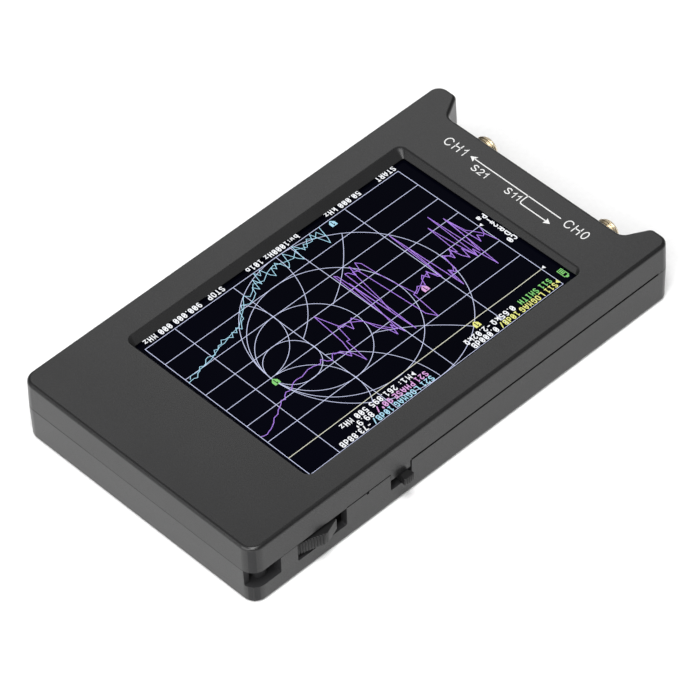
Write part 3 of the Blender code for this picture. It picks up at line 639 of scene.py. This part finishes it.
def stroke(bm, points, width, z0, z1, ends=6):
    """A closed thin body along a line, with round ends."""
    closed = (Vector(points[0]) - Vector(points[-1])).length < 1e-6
    pts = points[:-1] if closed else points
    left, right = offset_line(pts, width, closed)
    rows = []
    for z in (z0, z1):
        rows.append(([bm.verts.new((p.x, p.y, z)) for p in left], [bm.verts.new((p.x, p.y, z)) for p in right]))
    n = len(left)
    (l0, r0), (l1, r1) = rows
    for i in range(n if closed else n - 1):
        j = (i + 1) % n
        bm.faces.new((r0[i], l0[i], l0[j], r0[j]))
        bm.faces.new((r1[i], r1[j], l1[j], l1[i]))
        bm.faces.new((l0[i], l1[i], l1[j], l0[j]))
        bm.faces.new((r0[j], r1[j], r1[i], r0[i]))
    if not closed:
        for i, start in ((0, True), (n - 1, False)):
            cap = round_end(left[i], right[i], start, ends)
            a0, b0, a1, b1 = (l0[i], r0[i], l1[i], r1[i]) if start else (r0[i], l0[i], r1[i], l1[i])
            c0 = [bm.verts.new((p.x, p.y, z0)) for p in cap]
            c1 = [bm.verts.new((p.x, p.y, z1)) for p in cap]
            bm.faces.new([a0] + c0 + [b0])
            bm.faces.new(([a1] + c1 + [b1])[::-1])
            line0, line1 = [a0] + c0 + [b0], [a1] + c1 + [b1]
            for k in range(len(line0) - 1):
                bm.faces.new((line0[k], line1[k], line1[k + 1], line0[k + 1]))


def patch(bm, points, z0, z1):
    """A closed thin body over a flat polygon."""
    low = [bm.verts.new((p[0], p[1], z0)) for p in points]
    top = [bm.verts.new((p[0], p[1], z1)) for p in points]
    bm.faces.new(low[::-1])
    bm.faces.new(top)
    n = len(low)
    for i in range(n):
        j = (i + 1) % n
        bm.faces.new((low[i], low[j], top[j], top[i]))


def arc(cx, cy, rx, ry, a0, a1, n=14):
    return [(cx + rx * math.cos(math.radians(a0 + (a1 - a0) * k / n)), cy + ry * math.sin(math.radians(a0 + (a1 - a0) * k / n)))
            for k in range(n + 1)]


# sans capitals in a unit box, drawn as the centre lines of the strokes
CAPITALS = {
    'C': [arc(0.5, 0.5, 0.5, 0.5, 33, 327, 26)],
    'H': [[(0, 0), (0, 1)], [(1, 0), (1, 1)], [(0, 0.56), (1, 0.56)]],
    'S': [arc(0.5, 0.765, 0.44, 0.235, 25, 180, 12) + [(0.14, 0.66), (0.34, 0.56), (0.66, 0.46), (0.88, 0.38)]
          + arc(0.5, 0.255, 0.48, 0.255, 8, -160, 14)],
    '0': [arc(0.5, 0.5, 0.46, 0.5, 0, 360, 26)],
    '1': [[(0.0, 0.68), (0.42, 0.82), (0.66, 1.0), (0.66, 0.0)]],
    '2': [arc(0.5, 0.72, 0.44, 0.28, 165, -32, 14) + [(0.55, 0.33), (0.06, 0.0), (0.98, 0.0)]],
}
INK_W = 0.28
Z_INK = (SKIN - 0.006, CASE_H - 0.002)
bm = bmesh.new()


def print_text(text, x, y, height, widths, pitch):
    for ch, w, p in zip(text, widths, pitch):
        for line in CAPITALS[ch]:
            stroke(bm, [(x + a * w, y + b * height) for a, b in line], INK_W, *Z_INK)
        x += p


print_text("CH1", -22.48, 51.93, 2.40, (1.92, 1.58, 1.0), (2.88, 2.70, 1.0))
print_text("S21", -11.84, 50.20, 1.78, (1.34, 1.24, 0.95), (1.92, 1.87, 1.0))
print_text("S11", -1.15, 50.18, 1.78, (1.34, 0.88, 0.95), (2.15, 1.42, 1.0))
print_text("CH0", 15.98, 51.74, 2.36, (1.92, 1.62, 1.42), (2.76, 2.54, 1.0))
for part in (((-13.3, 53.12), (14.24, 52.98)),
             [(3.92, 53.03), (3.92, 50.98), (3.97, 50.62), (4.12, 50.32), (4.38, 50.14), (4.72, 50.09), (12.2, 50.08)]):
    stroke(bm, list(part), 0.29, *Z_INK)
patch(bm, [(-14.68, 53.12), (-13.02, 52.17), (-13.20, 52.70), (-13.20, 53.56), (-13.02, 54.08)], *Z_INK)
patch(bm, [(13.72, 50.05), (12.08, 51.00), (12.28, 50.48), (12.28, 49.62), (12.22, 49.16)], *Z_INK)
labels = write(bm, "port_labels", INK, 0)
piece(labels, "chassis")

# ---------------------------------------------------------------- the lit picture
# Corners of the plot grid on the glass: picture (u, v) and case (x, y).
PLOT = (((15, 304), (-24.39, 39.47)), ((470, 304), (-24.81, -39.08)), ((15, 0), (27.95, 39.88)), ((470, 0), (28.58, -39.48)))
rows, vals = [], []
for (u, v), (x, y) in PLOT:
    rows += [[u, v, 1, 0, 0, 0, -u * x, -v * x], [0, 0, 0, u, v, 1, -u * y, -v * y]]
    vals += [x, y]
HOM = np.append(np.linalg.solve(np.array(rows, float), np.array(vals, float)), 1.0).reshape(3, 3)


def lcd(u, v):
    q = HOM @ np.array([u, v, 1.0])
    return float(q[0] / q[2]), float(q[1] / q[2])


PX = 0.174


def layer(n):
    z = GLASS_Z + 0.003 + 0.0022 * n
    return z - 0.0012, z


def bent(u, v):
    """The plotted lines bow a little against the panel's straight frame."""
    return u - 2.1 * (1 - ((u - 242) / 228) ** 2), v + 0.3 + 1.1 * (1 - ((v - 152) / 152) ** 2)


def draw(bm, points, width, n, ends=3):
    stroke(bm, [lcd(*p) for p in points], width * PX, *layer(n), ends)


def run(bm, points, width, n):
    """A jagged trace: every stretch is its own bar, and the bars overlap at the turns."""
    z0, z1 = layer(n)
    P = [Vector(lcd(*bent(*p))) for p in points]
    for a, b in zip(P, P[1:]):
        d = (b - a).normalized()
        e = d * (width * PX * 0.42)
        s = Vector((-d.y, d.x)) * (width * PX / 2)
        patch(bm, [a - e - s, b + e - s, b + e + s, a - e + s], z0, z1)


def screen(bm, name, mat):
    return piece(write(bm, name, mat, 0), "chassis")


bm = bmesh.new()
for u in (15, 115.6, 215.9, 317.2, 419.2, 470):
    draw(bm, [(u, 1.2), (u, 304.7)], 0.92, 0)
for v in (1.2, 77.5, 115.5, 153.3, 191.2, 229.0, 266.9, 304.7):
    draw(bm, [(15, v), (470, v)], 0.92 if v > 2 else 0.75, 0)
screen(bm, "screen_grid", GREY)


def ring_part(cu, cv, r, inside=None, steps=120):
    """The part of a circle that lies inside the chart's outer circle."""
    lines, now = [], []
    for k in range(steps + 1):
        a = 2 * math.pi * k / steps
        p = (cu + r * math.cos(a), cv + r * math.sin(a))
        if inside is None or (p[0] - 240.8) ** 2 + (p[1] - 153.2) ** 2 < inside ** 2:
            now.append(p)
        elif now:
            lines.append(now)
            now = []
    if now:
        lines.append(now)
    if len(lines) > 1 and lines[0][0] == (cu + r, cv):
        lines[0] = lines.pop()[:-1] + lines[0]
    return [ln for ln in lines if len(ln) > 1]


bm = bmesh.new()
for cu, r in ((240.8, 151.8), (278.7, 114), (316.7, 76), (354.7, 38.2)):
    for line in ring_part(cu, 153.2, r):
        draw(bm, line, 0.88, 1)
for r, reach in ((304, 248), (152, 317), (76, 384)):
    for s in (-1, 1):
        for line in ring_part(392.7, 153.2 + s * r, r, 151.5, 720):
            line = [p for p in line if p[0] < reach]
            if len(line) > 1:
                draw(bm, line, 0.84, 1)
screen(bm, "screen_chart", GREY)

CREAM_RUN = [(15, 39.2), (70, 38.8), (140, 39.4), (230, 39.0), (320, 39.3), (400, 38.8), (470, 39.1)]
PURPLE_A = [(15, 118), (19.5, 138), (24, 136), (28.6, 143), (33.2, 131), (37.7, 196), (42.2, 140), (46.8, 87), (51.4, 129), (56, 116), (61, 140),
            (65, 121), (70, 131), (74, 152), (79.5, 134), (83, 143), (89, 149), (93, 120), (97, 115), (101, 123), (106, 93), (111, 225), (116, 123),
            (119.7, 127), (124, 144), (128.7, 133), (133, 143), (137.9, 138), (142.4, 127), (147, 130), (151.5, 133), (156, 129), (161, 127),
            (165, 126), (170, 77), (173.5, 83.5), (178, 91), (185, 206), (188.5, 222), (192.5, 204.5), (197, 215), (201.5, 217), (205.5, 82),
            (211.5, 220), (214.5, 224), (219, 88), (224, 110), (229, 91), (232, 106), (239, 118), (242.5, 135), (247, 145), (251, 154), (256, 150),
            (262, 138), (265, 150), (269.8, 150), (273, 158), (282.5, 190), (288, 132), (293, 113), (297, 106), (303, 120), (306, 123), (311, 127),
            (319, 118), (324.5, 122), (328.5, 130), (333, 125), (338, 126), (342.6, 128), (351.7, 129), (356, 128), (365, 125.5), (374, 127),
            (379, 126), (383.5, 124), (388, 120), (392.6, 119.5), (397, 121), (401.8, 118), (406, 112.5), (410.8, 115), (415, 111), (420, 108),
            (424.5, 106), (429, 101.5), (437, 100), (442.7, 94.5), (447, 92), (451.8, 89.5), (456, 88.5), (461, 86.5), (465, 87), (469, 89)]
PURPLE_B = [(15, 150), (19.5, 138), (28, 153), (33, 160), (37, 190), (41.5, 150), (46.8, 120), (50.5, 213), (55.5, 115), (60.5, 150), (65, 198),
            (69.5, 140), (75, 147), (80, 141), (88, 146), (93, 125), (98, 119), (102, 125), (106.5, 104), (110, 190), (113, 150), (117, 127), (124, 141), (133, 139), (147, 131), (161, 124), (166, 150),
            (171, 187), (173, 215), (178, 222), (183, 207), (192, 212), (201, 150), (207.5, 125), (209.5, 200), (214, 150), (223, 98), (232, 112),
            (245, 140), (260, 152), (274, 155), (278.9, 128), (283.5, 129), (288, 88), (292.5, 108), (301, 122), (310, 124)]
CYAN_A = [(165, 303), (165.5, 302), (170, 282), (174, 272), (178.8, 287), (183, 303), (188.5, 291.5), (192.5, 292), (197, 293),
          (201.5, 296), (206.5, 286.5), (210.6, 297), (215, 304), (219, 275), (224, 282), (228.9, 295), (233, 303), (238, 284), (243.5, 277.5),
          (247, 290), (251.6, 298), (256.5, 288), (260.7, 295), (265.5, 279.5), (269.8, 286), (274, 303), (279.5, 294), (283.5, 304), (288.5, 282),
          (292.5, 296), (297, 277), (302, 286), (306, 275), (311, 272), (315, 269.5), (319.9, 268), (324, 267), (329, 270), (333.5, 273), (338, 266),
          (342.6, 266), (347.5, 253), (351.7, 252), (356, 248), (361, 241), (365.5, 248.5), (369.9, 241), (374.5, 246), (379, 238.5), (383.5, 243),
          (388, 243), (393, 246), (397, 240.5), (401.8, 241.5), (406, 237), (410.8, 239.5), (415, 232.5), (420, 234), (424.5, 236.5), (429, 235),
          (433.6, 230), (438, 228.5), (442.7, 231.5), (447, 226), (451.8, 224.5), (456.5, 219.5), (461, 221.5), (465, 221.5), (470, 220.5)]
CYAN_B = [(165, 304), (169.7, 285), (174, 300), (183, 292), (192, 300), (201, 288), (215, 296), (228, 286), (242, 290), (256, 296), (270, 292),
          (283, 284), (297, 290), (306, 281), (315, 276), (320, 283), (324.5, 279), (333, 268), (347, 258), (361, 247), (379, 244), (393, 239),
          (401, 239), (424.5, 230), (451, 227), (461, 228), (465, 224)]
bm = bmesh.new()
run(bm, CREAM_RUN, 1.05, 2)
screen(bm, "screen_trace_cream", CREAM)
bm = bmesh.new()
run(bm, PURPLE_A, 1.15, 3)
run(bm, PURPLE_B, 1.05, 4)
screen(bm, "screen_trace_purple", PURPLE)
bm = bmesh.new()
run(bm, CYAN_A, 0.95, 5)
run(bm, CYAN_B, 0.9, 6)
screen(bm, "screen_trace_cyan", CYAN)

# read-out characters, as centre lines in a unit box
BOWL = [(0, .15), (.3, 0), (.7, 0), (1, .2), (1, .44), (.7, .62), (.3, .62), (0, .48)]
OVAL = [(0, .2), (0, .8), (.3, 1), (.7, 1), (1, .8), (1, .2), (.7, 0), (.3, 0), (0, .2)]
FONT = {
    '0': [OVAL, [(.3, .3), (.7, .7)]], 'O': [OVAL],
    '1': [[(.12, .8), (.55, 1), (.55, 0)], [(.15, 0), (.95, 0)]],
    '2': [[(0, .8), (.3, 1), (.7, 1), (1, .8), (1, .6), (0, 0), (1, 0)]],
    '3': [[(0, .85), (.3, 1), (.7, 1), (1, .82), (1, .65), (.7, .52), (.4, .52)], [(.7, .52), (1, .38), (1, .18), (.7, 0), (.3, 0), (0, .15)]],
    '4': [[(.75, 0), (.75, 1), (0, .3), (1, .3)]],
    '5': [[(.95, 1), (.1, 1), (.05, .56), (.65, .6), (1, .42), (1, .18), (.7, 0), (.3, 0), (0, .12)]],
    '6': [[(.9, .92), (.65, 1), (.3, 1), (0, .75), (0, .2), (.3, 0), (.7, 0), (1, .2), (1, .4), (.7, .57), (.3, .57), (0, .42)]],
    '7': [[(0, 1), (1, 1), (.4, 0)]],
    '8': [[(.3, .54), (0, .72), (0, .83), (.3, 1), (.7, 1), (1, .83), (1, .72), (.7, .54), (.3, .54), (0, .36), (0, .17), (.3, 0), (.7, 0), (1, .17),
           (1, .36), (.7, .54)]],
    '9': [[(.1, .08), (.35, 0), (.7, 0), (1, .25), (1, .8), (.7, 1), (.3, 1), (0, .8), (0, .6), (.3, .43), (.7, .43), (1, .58)]],
    'A': [[(0, 0), (0, .62), (.5, 1), (1, .62), (1, 0)], [(0, .38), (1, .38)]],
    'B': [[(0, 0), (0, 1), (.7, 1), (1, .85), (1, .68), (.7, .53), (0, .53)], [(.7, .53), (1, .38), (1, .15), (.7, 0), (0, 0)]],
    'C': [[(1, .8), (.7, 1), (.3, 1), (0, .8), (0, .2), (.3, 0), (.7, 0), (1, .2)]],
    'D': [[(0, 0), (0, 1), (.6, 1), (1, .75), (1, .25), (.6, 0), (0, 0)]],
    'E': [[(1, 1), (0, 1), (0, 0), (1, 0)], [(0, .52), (.8, .52)]],
    'G': [[(1, .82), (.7, 1), (.3, 1), (0, .8), (0, .2), (.3, 0), (.7, 0), (1, .2), (1, .45), (.55, .45)]],
    'H': [[(0, 0), (0, 1)], [(1, 0), (1, 1)], [(0, .52), (1, .52)]],
    'I': [[(.5, 0), (.5, 1)], [(.18, 0), (.82, 0)], [(.18, 1), (.82, 1)]],
    'L': [[(0, 1), (0, 0), (1, 0)]],
    'M': [[(0, 0), (0, 1), (.5, .5), (1, 1), (1, 0)]],
    'P': [[(0, 0), (0, 1), (.7, 1), (1, .82), (1, .62), (.7, .46), (0, .46)]],
    'R': [[(0, 0), (0, 1), (.7, 1), (1, .82), (1, .64), (.7, .5), (0, .5)], [(.5, .5), (1, 0)]],
    'S': [[(1, .84), (.7, 1), (.3, 1), (0, .84), (0, .68), (.3, .54), (.7, .48), (1, .34), (1, .16), (.7, 0), (.3, 0), (0, .16)]],
    'T': [[(0, 1), (1, 1)], [(.5, 1), (.5, 0)]],
    'a': [[(.1, .6), (.7, .62), (.95, .45), (.95, 0)], [(.95, .35), (.3, .35), (0, .2), (0, .1), (.3, 0), (.7, 0), (.95, .12)]],
    'b': [[(0, 1), (0, 0)], BOWL],
    'd': [[(1, 1), (1, 0)], [(1 - x, y) for x, y in BOWL]],
    'k': [[(0, 0), (0, 1)], [(.85, .62), (0, .22)], [(.3, .36), (.9, 0)]],
    'p': [[(0, -.25), (0, .62)], BOWL],
    'w': [[(0, .62), (.22, 0), (.5, .45), (.78, 0), (1, .62)]],
    'z': [[(0, .62), (1, .62), (0, 0), (1, 0)]],
    '/': [[(0, -.05), (1, 1.05)]],
    ':': [[(.2, .1), (.2, .2)], [(.2, .5), (.2, .6)]],
    '.': [[(.15, 0), (.15, .08)]],
    '-': [[(.05, .47), (.9, .47)]],
    'o': [[(.1, .75), (.1, .9), (.3, 1), (.5, .9), (.5, .75), (.3, .65), (.1, .75)]],
    'W': [[(0, 0), (.3, 0), (.3, .15), (0, .45), (0, .75), (.3, 1), (.7, 1), (1, .75), (1, .45), (.7, .15), (.7, 0), (1, 0)]],
}
NARROW = {'.': 4.0, ' ': 4.0, ':': 4.0, 'o': 5.0}


def letters(bm, text, u0, u1, v_top, v_low, n=9, width=1.65):
    natural = sum(NARROW.get(c, 7.0) for c in text) - 1.6
    k = (u1 - u0) / natural
    u = u0
    for c in text:
        w = NARROW.get(c, 7.0) * k
        gw = (NARROW.get(c, 7.0) - 1.6) * k - width
        for line in FONT.get(c, []):
            pts = [(u + width / 2 + a * gw, v_low - width / 2 - b * (v_low - v_top - width)) for a, b in line]
            draw(bm, pts, width, n, 2)
        u += w


def wedge(bm, pts, n=9):
    patch(bm, [lcd(*p) for p in pts], *layer(n))


R1, R2, R3, R4 = (2.5, 12.2), (13.4, 23.0), (24.4, 34.0), (308.2, 318.0)
bm = bmesh.new()
wedge(bm, [(15, 5.0), (20.2, 9.4), (15, 13.8)])
for t, a, b in (("S11", 21.4, 41), ("LOGMAG", 45.8, 88.2), ("10dB/", 92.3, 126)):
    letters(bm, t, a, b, *R1)
screen(bm, "screen_text_yellow", YELLOW)
bm = bmesh.new()
for t, a, b in (("S21", 249, 269), ("LOGMAG", 274, 316), ("10dB/", 321, 355)):
    letters(bm, t, a, b, *R1)
screen(bm, "screen_text_cyan", CYAN)
bm = bmesh.new()
for t, a, b in (("S11", 21.4, 41), ("SMITH", 45.8, 79.4)):
    letters(bm, t, a, b, *R2)
# battery sign: case, cap and charge bars
draw(bm, [(-3.2, 8.4), (4.3, 8.4), (4.3, 22.4), (-3.2, 22.4), (-3.2, 8.4)], 1.15, 9)
wedge(bm, [(-1.3, 5.3), (2.4, 5.3), (3.2, 7.6), (-2.1, 7.6)])
for v in (13.2, 16.0, 18.8):
    wedge(bm, [(-1.8, v), (2.9, v), (2.9, v + 1.9), (-1.8, v + 1.9)])
screen(bm, "screen_text_green", GREEN)
bm = bmesh.new()
for t, a, b in (("S21", 249, 269), ("PHASE", 273, 308), ("90o/", 312, 339)):
    letters(bm, t, a, b, *R2)
screen(bm, "screen_text_pink", PINK)
bm = bmesh.new()
for t, a, b, r in (("0.000dB", 131.3, 176.4, R1), ("-73.88dB", 359, 411, R1), ("0.65kW", 89.5, 130, R2), ("-2.02kW", 133.6, 179, R2), ("89.9o", 345, 376, R2),
                   ("M1:", 267, 287, R3), ("261.895 500 MHz", 293, 390, R3), ("START", 14.0, 48.0, R4), ("50.000 kHz", 79.6, 142.6, R4),
                   ("bw:1000Hz 101p", 192.8, 284.6, R4), ("STOP", 326.3, 354, R4), ("900.000 000 MHz", 366.4, 463.6, R4)):
    letters(bm, t, a, b, *r)
wedge(bm, [(260.5, 25.0), (265.5, 29.2), (260.5, 33.4)])
for text, top in (("C0", 101.8), ("D", 113.2), ("R", 124.6), ("2", 136.0), ("T", 146.6), ("Pa", 157.6)):
    if len(text) == 2:
        letters(bm, text, -6.2, 7.4, top, top + 10.2, width=1.8)
    else:
        letters(bm, text, -5.2, 0.8, top, top + 10.0, width=1.8)
wedge(bm, [(9.0, 37.4), (14.0, 40.4), (9.0, 43.4)])
wedge(bm, [(9.4, 150.4), (14.6, 153.4), (9.4, 156.4)])
screen(bm, "screen_text_white", WHITE)


def tag(bm, u, v):
    wedge(bm, [(u, v + 1.6), (u + 9.6, v + 1.6), (u + 9.6, v + 8.4), (u + 5.4, v + 12.8), (u + 4.2, v + 12.8), (u, v + 8.4)], 7)


TAGS = (("yellow", YELLOW, 140.3, 25), ("pink", PINK, 140.6, 117.6), ("green", GREEN, 387.9, 138), ("cyan", CYAN, 140.6, 289.6))
digits = bmesh.new()
for name, mat, u, v in TAGS:
    bm = bmesh.new()
    tag(bm, u, v)
    screen(bm, "screen_tag_" + name, mat)
    draw(digits, [(u + 3.3, v + 4.5), (u + 5.0, v + 3.1), (u + 5.0, v + 10.2)], 1.5, 8, 2)
screen(digits, "screen_tag_digits", DARK)

# ---------------------------------------------------------------- coaxial jacks
PITCH = 25.4 / 36


def jack(name, node, x0):
    """Threaded body with flange and legs; the thread is a real helix."""
    bm = bmesh.new()
    seg = 72
    y_start, y_end = 57.7, PORT_FRONT
    steps_y = 110
    rings = []

    def ring(y, radius):
        pts = []
        for k in range(seg):
            a = 2 * math.pi * k / seg
            r = radius(a, y) if callable(radius) else radius
            pts.append((x0 + r * math.cos(a), y, PORT_Z + r * math.sin(a)))
        rings.append(pts)

    def thread(a, y):
        phase = (y / PITCH - a / (2 * math.pi)) % 1.0
        h = min(1.0, max(0.0, abs(phase - 0.5) * 2 * 1.35 - 0.18))
        r = THREAD_R - 0.33 * (1 - h)
        near = min((y_end - y) / 0.8, 1.0)
        back = min((y - y_start) / 0.5, 1.0)
        r = min(r, THREAD_R - 0.50 * (1 - near))
        return min(r, THREAD_R - 0.36 * (1 - back)) if back < 1 else r

    ring(55.4, 2.3)
    ring(55.4, 2.82)
    ring(57.2, 2.82)
    for i in range(steps_y + 1):
        ring(y_start + (y_end - y_start) * i / steps_y, thread)
    ring(y_end, 2.6)
    ring(y_end - 0.06, 2.42)
    ring(y_end - 0.24, 2.3)
    loft(bm, rings, closed=True)
    body = write(bm, name, GOLD, 50)
    flange = across("c", rounded(rect(x0 - 3.2, x0 + 3.2, PORT_Z - 3.2, PORT_Z + 3.2), [0.4] * 4, steps=4), 55.4, 57.0)
    bore = across("c", [Vector((x0 + 2.3 * math.cos(2 * math.pi * k / 72), PORT_Z + 2.3 * math.sin(2 * math.pi * k / 72))) for k in range(72)], 54, 59)
    shape(flange, [bore])
    shape(body, [flange], 'UNION')
    legs = [block("c", x0 + dx, x0 + dx + 1.0, 51.4, 56.0, z0, z1) for dx, z0, z1 in ((-3.1, 11.0, 11.9), (2.1, 11.0, 11.9), (-3.1, 7.9, 8.8), (2.1, 7.9, 8.8))]
    shape(body, legs, 'UNION')
    body.data.shade_smooth()
    body.data.set_sharp_from_angle(angle=math.radians(50))
    return piece(body, "chassis", (node,))


jack("coaxial_jack_ch1", "sma_body_ch1", -PORT_X)
jack("coaxial_jack_ch0", "sma_body_ch0", PORT_X)

# ---------------------------------------------------------------- power slider
SLIDER_Y = (-51.6, -40.4)
PEAK_Y, PEAK_X = -44.8, 38.75


def slider_face(y):
    if y <= PEAK_Y:
        u = (y - SLIDER_Y[0]) / (PEAK_Y - SLIDER_Y[0])
        return 36.5 + (PEAK_X - 36.5) * (0.78 * u + 0.22 * u * u)
    u = (y - PEAK_Y) / (SLIDER_Y[1] - PEAK_Y)
    return PEAK_X - (PEAK_X - 37.15) * u


def slider_outline(inset, ribs):
    """Inner side, then up the face; ribs are round-topped ridges."""
    pts = [(34.9, SLIDER_Y[1] - inset), (34.9, SLIDER_Y[0] + inset)]
    pitch, count, per = 0.67, 10, 8
    for i in range(count * per + 1):
        y = SLIDER_Y[0] + i * pitch / per
        wave = abs(math.sin(math.pi * (i / per))) ** 0.7
        y = max(y, SLIDER_Y[0] + inset)
        h = (-0.20 + 0.25 * wave) if ribs else 0.0
        pts.append((min(slider_face(y) + h, PEAK_X) - inset, y))
    y = SLIDER_Y[0] + count * pitch
    for k in range(1, 9):
        yy = y + (SLIDER_Y[1] - inset - y) * k / 8
        pts.append((slider_face(yy) - inset, yy))
    return [Vector(p) for p in pts]


bm = bmesh.new()
rings = []
for z, inset in ((5.50, 0.22), (5.57, 0.08), (5.72, 0.0), (8.78, 0.0), (8.93, 0.08), (9.0, 0.22)):
    rings.append(level(slider_outline(inset, True), z))
loft(bm, rings)
knob = write(bm, "power_slider_knob", SLIDER)
shape(knob, [block("c", 31.9, 35.3, -49.2, -44.8, 6.5, 7.65)], 'UNION')
tidy(knob, 38)
piece(knob, "power_slider", ("power_switch_knob",))

# ---------------------------------------------------------------- jog lever
JOG_Y, JOG_X, JOG_OUT, HEAD_W = -19.85, 31.4, 39.19, 1.5


def head_outline(inset):
    """The thumb piece: five round-topped ribs across a crowned face."""
    pts = [(35.6, JOG_Y - 1.1 + inset), (37.5, JOG_Y - 1.15 + inset), (37.75, JOG_Y - HEAD_W + 0.1 + inset)]
    per, count = 8, 5
    for i in range(per * count + 1):
        y = JOG_Y - HEAD_W + 2 * HEAD_W * i / (per * count)
        y = min(max(y, JOG_Y - HEAD_W + inset), JOG_Y + HEAD_W - inset)
        crown = 0.24 * (1 - ((y - JOG_Y) / HEAD_W) ** 2)
        wave = abs(math.sin(math.pi * (i / per))) ** 0.7
        pts.append((JOG_OUT - 0.24 + crown - 0.24 * (1 - wave) - inset, y))
    pts += [(37.75, JOG_Y + HEAD_W - 0.1 - inset), (37.5, JOG_Y + 1.15 - inset), (35.6, JOG_Y + 1.1 - inset)]
    return [Vector(p) for p in pts]


bm = bmesh.new()
loft(bm, [level(head_outline(i), z) for z, i in ((5.70, 0.16), (5.76, 0.05), (5.88, 0.0), (7.62, 0.0), (7.74, 0.05), (7.80, 0.16))])
lever = write(bm, "jog_lever_piece", SLIDER)
arm = [Vector((JOG_X + 1.9 * math.cos(math.radians(a)), JOG_Y + 1.9 * math.sin(math.radians(a)))) for a in range(36, 325, 8)]
arm += [Vector((33.6, JOG_Y - 1.05)), Vector((36.4, JOG_Y - 1.09)), Vector((36.4, JOG_Y + 1.09)), Vector((33.6, JOG_Y + 1.05))]
shape(lever, [slab("c", arm, 6.03, 7.70)], 'UNION')
shape(lever, [pin("c", JOG_X, JOG_Y, 1.05, 4, 10, 32)])
tidy(lever, 38)
piece(lever, "jog_tilt", ("jog_lever",))

# ---------------------------------------------------------------- finishes of the carried-over parts
FINISH = {
    "display_gasket": FOAM, "touch_panel": GLASS, "lcd_panel": LCD, "lcd_backlight_frame": BACK, "lcd_ribbon": FLEX, "touch_ribbon": FLEX,
    "main_pcb": BOARD, "fpc_connector": NYLON, "touch_fpc_connector": NYLON, "mcu_chip": CHIP, "flash_chip": CHIP, "clock_chip": CHIP,
    "reference_oscillator": TINNED, "codec_chip": CHIP, "mixer_chip_1": CHIP, "mixer_chip_2": CHIP, "mixer_chip_3": CHIP, "charger_chip": CHIP,
    "power_inductor": CHIP, "rf_shield_frame": TINNED, "rf_shield_lid": TINNED, "sma_insulator_ch0": PTFE, "sma_insulator_ch1": PTFE,
    "sma_contact_ch0": GOLD, "sma_contact_ch1": GOLD, "usb_c_shell": TINNED, "usb_c_tongue": CHIP, "power_switch_body": SWITCH,
    "jog_switch_body": SWITCH, "jog_carrier": SWITCH, "battery_pouch": POUCH, "battery_tape": FOAM, "battery_lead_red": WIRE_R,
    "battery_lead_black": WIRE_B, "battery_plug": NYLON, "battery_socket": NYLON,
    "front_shell": CASE, "rear_shell": CASE, "sma_body_ch0": GOLD, "sma_body_ch1": GOLD, "power_switch_knob": SLIDER, "jog_lever": SLIDER,
}
for i in range(1, 5):
    FINISH[f"case_screw_{i}"] = STEEL
    FINISH[f"pcb_screw_{i}"] = STEEL
for name, mat in FINISH.items():
    node = NODES[name]
    if not node.material_slots:
        node.data.materials.append(mat)
    for sl in node.material_slots:
        sl.material = mat

# ---------------------------------------------------------------- floor and light
bm = bmesh.new()
n, half = 24, 1500.0
grid = [[bm.verts.new((-half + 2 * half * i / n, -half + 2 * half * j / n, -0.02)) for j in range(n + 1)] for i in range(n + 1)]
for i in range(n):
    for j in range(n):
        bm.faces.new((grid[i][j], grid[i + 1][j], grid[i + 1][j + 1], grid[i][j + 1]))
_s = Shader("studio_paper", (0.86, 0.86, 0.86), 0.75, spec=0.2)
_n = _s.noise(900, 3)
_s.colour(_s.blend(_s.remap(_n, 0, 1), (0.85, 0.85, 0.85), (0.88, 0.88, 0.88)))
floor = write(bm, "studio_floor", _s.mat, 0)


def softbox(name, at, aim, size, size_y, power, colour=(1, 1, 1)):
    data = bpy.data.lights.new(name, 'AREA')
    data.shape = 'RECTANGLE'
    data.size, data.size_y = size, size_y
    data.energy = power
    data.color = colour
    o = bpy.data.objects.new(name, data)
    o.location = at
    o.rotation_euler = (Vector(aim) - Vector(at)).to_track_quat('-Z', 'Y').to_euler()
    scene.collection.objects.link(o)
    return o


softbox("overhead", (0.30, -0.20, 1.45), (0, 0, 0), 0.6, 0.6, 16)
softbox("key_low", (0.02, -1.05, 0.55), (0, 0, 0), 1.1, 0.8, 10.6)
softbox("key_left", (-0.65, -0.95, 0.9), (0, 0, 0), 1.0, 0.8, 1.6)
softbox("front", (0.9, -0.9, 1.3), (0, 0, 0), 1.0, 1.0, 18)
softbox("back_sheen", (-0.48, 0.40, 0.50), (0, 0, 0), 0.4, 0.4, 0.86)

world = bpy.data.worlds.new("studio")
scene.world = world
world.use_nodes = True
world.node_tree.nodes["Background"].inputs["Color"].default_value = (1, 1, 1, 1)
world.node_tree.nodes["Background"].inputs["Strength"].default_value = 0.13

scene.view_settings.view_transform = 'Standard'
scene.view_settings.look = 'None'
scene.view_settings.exposure = 0.0
scene.view_settings.gamma = 1.0
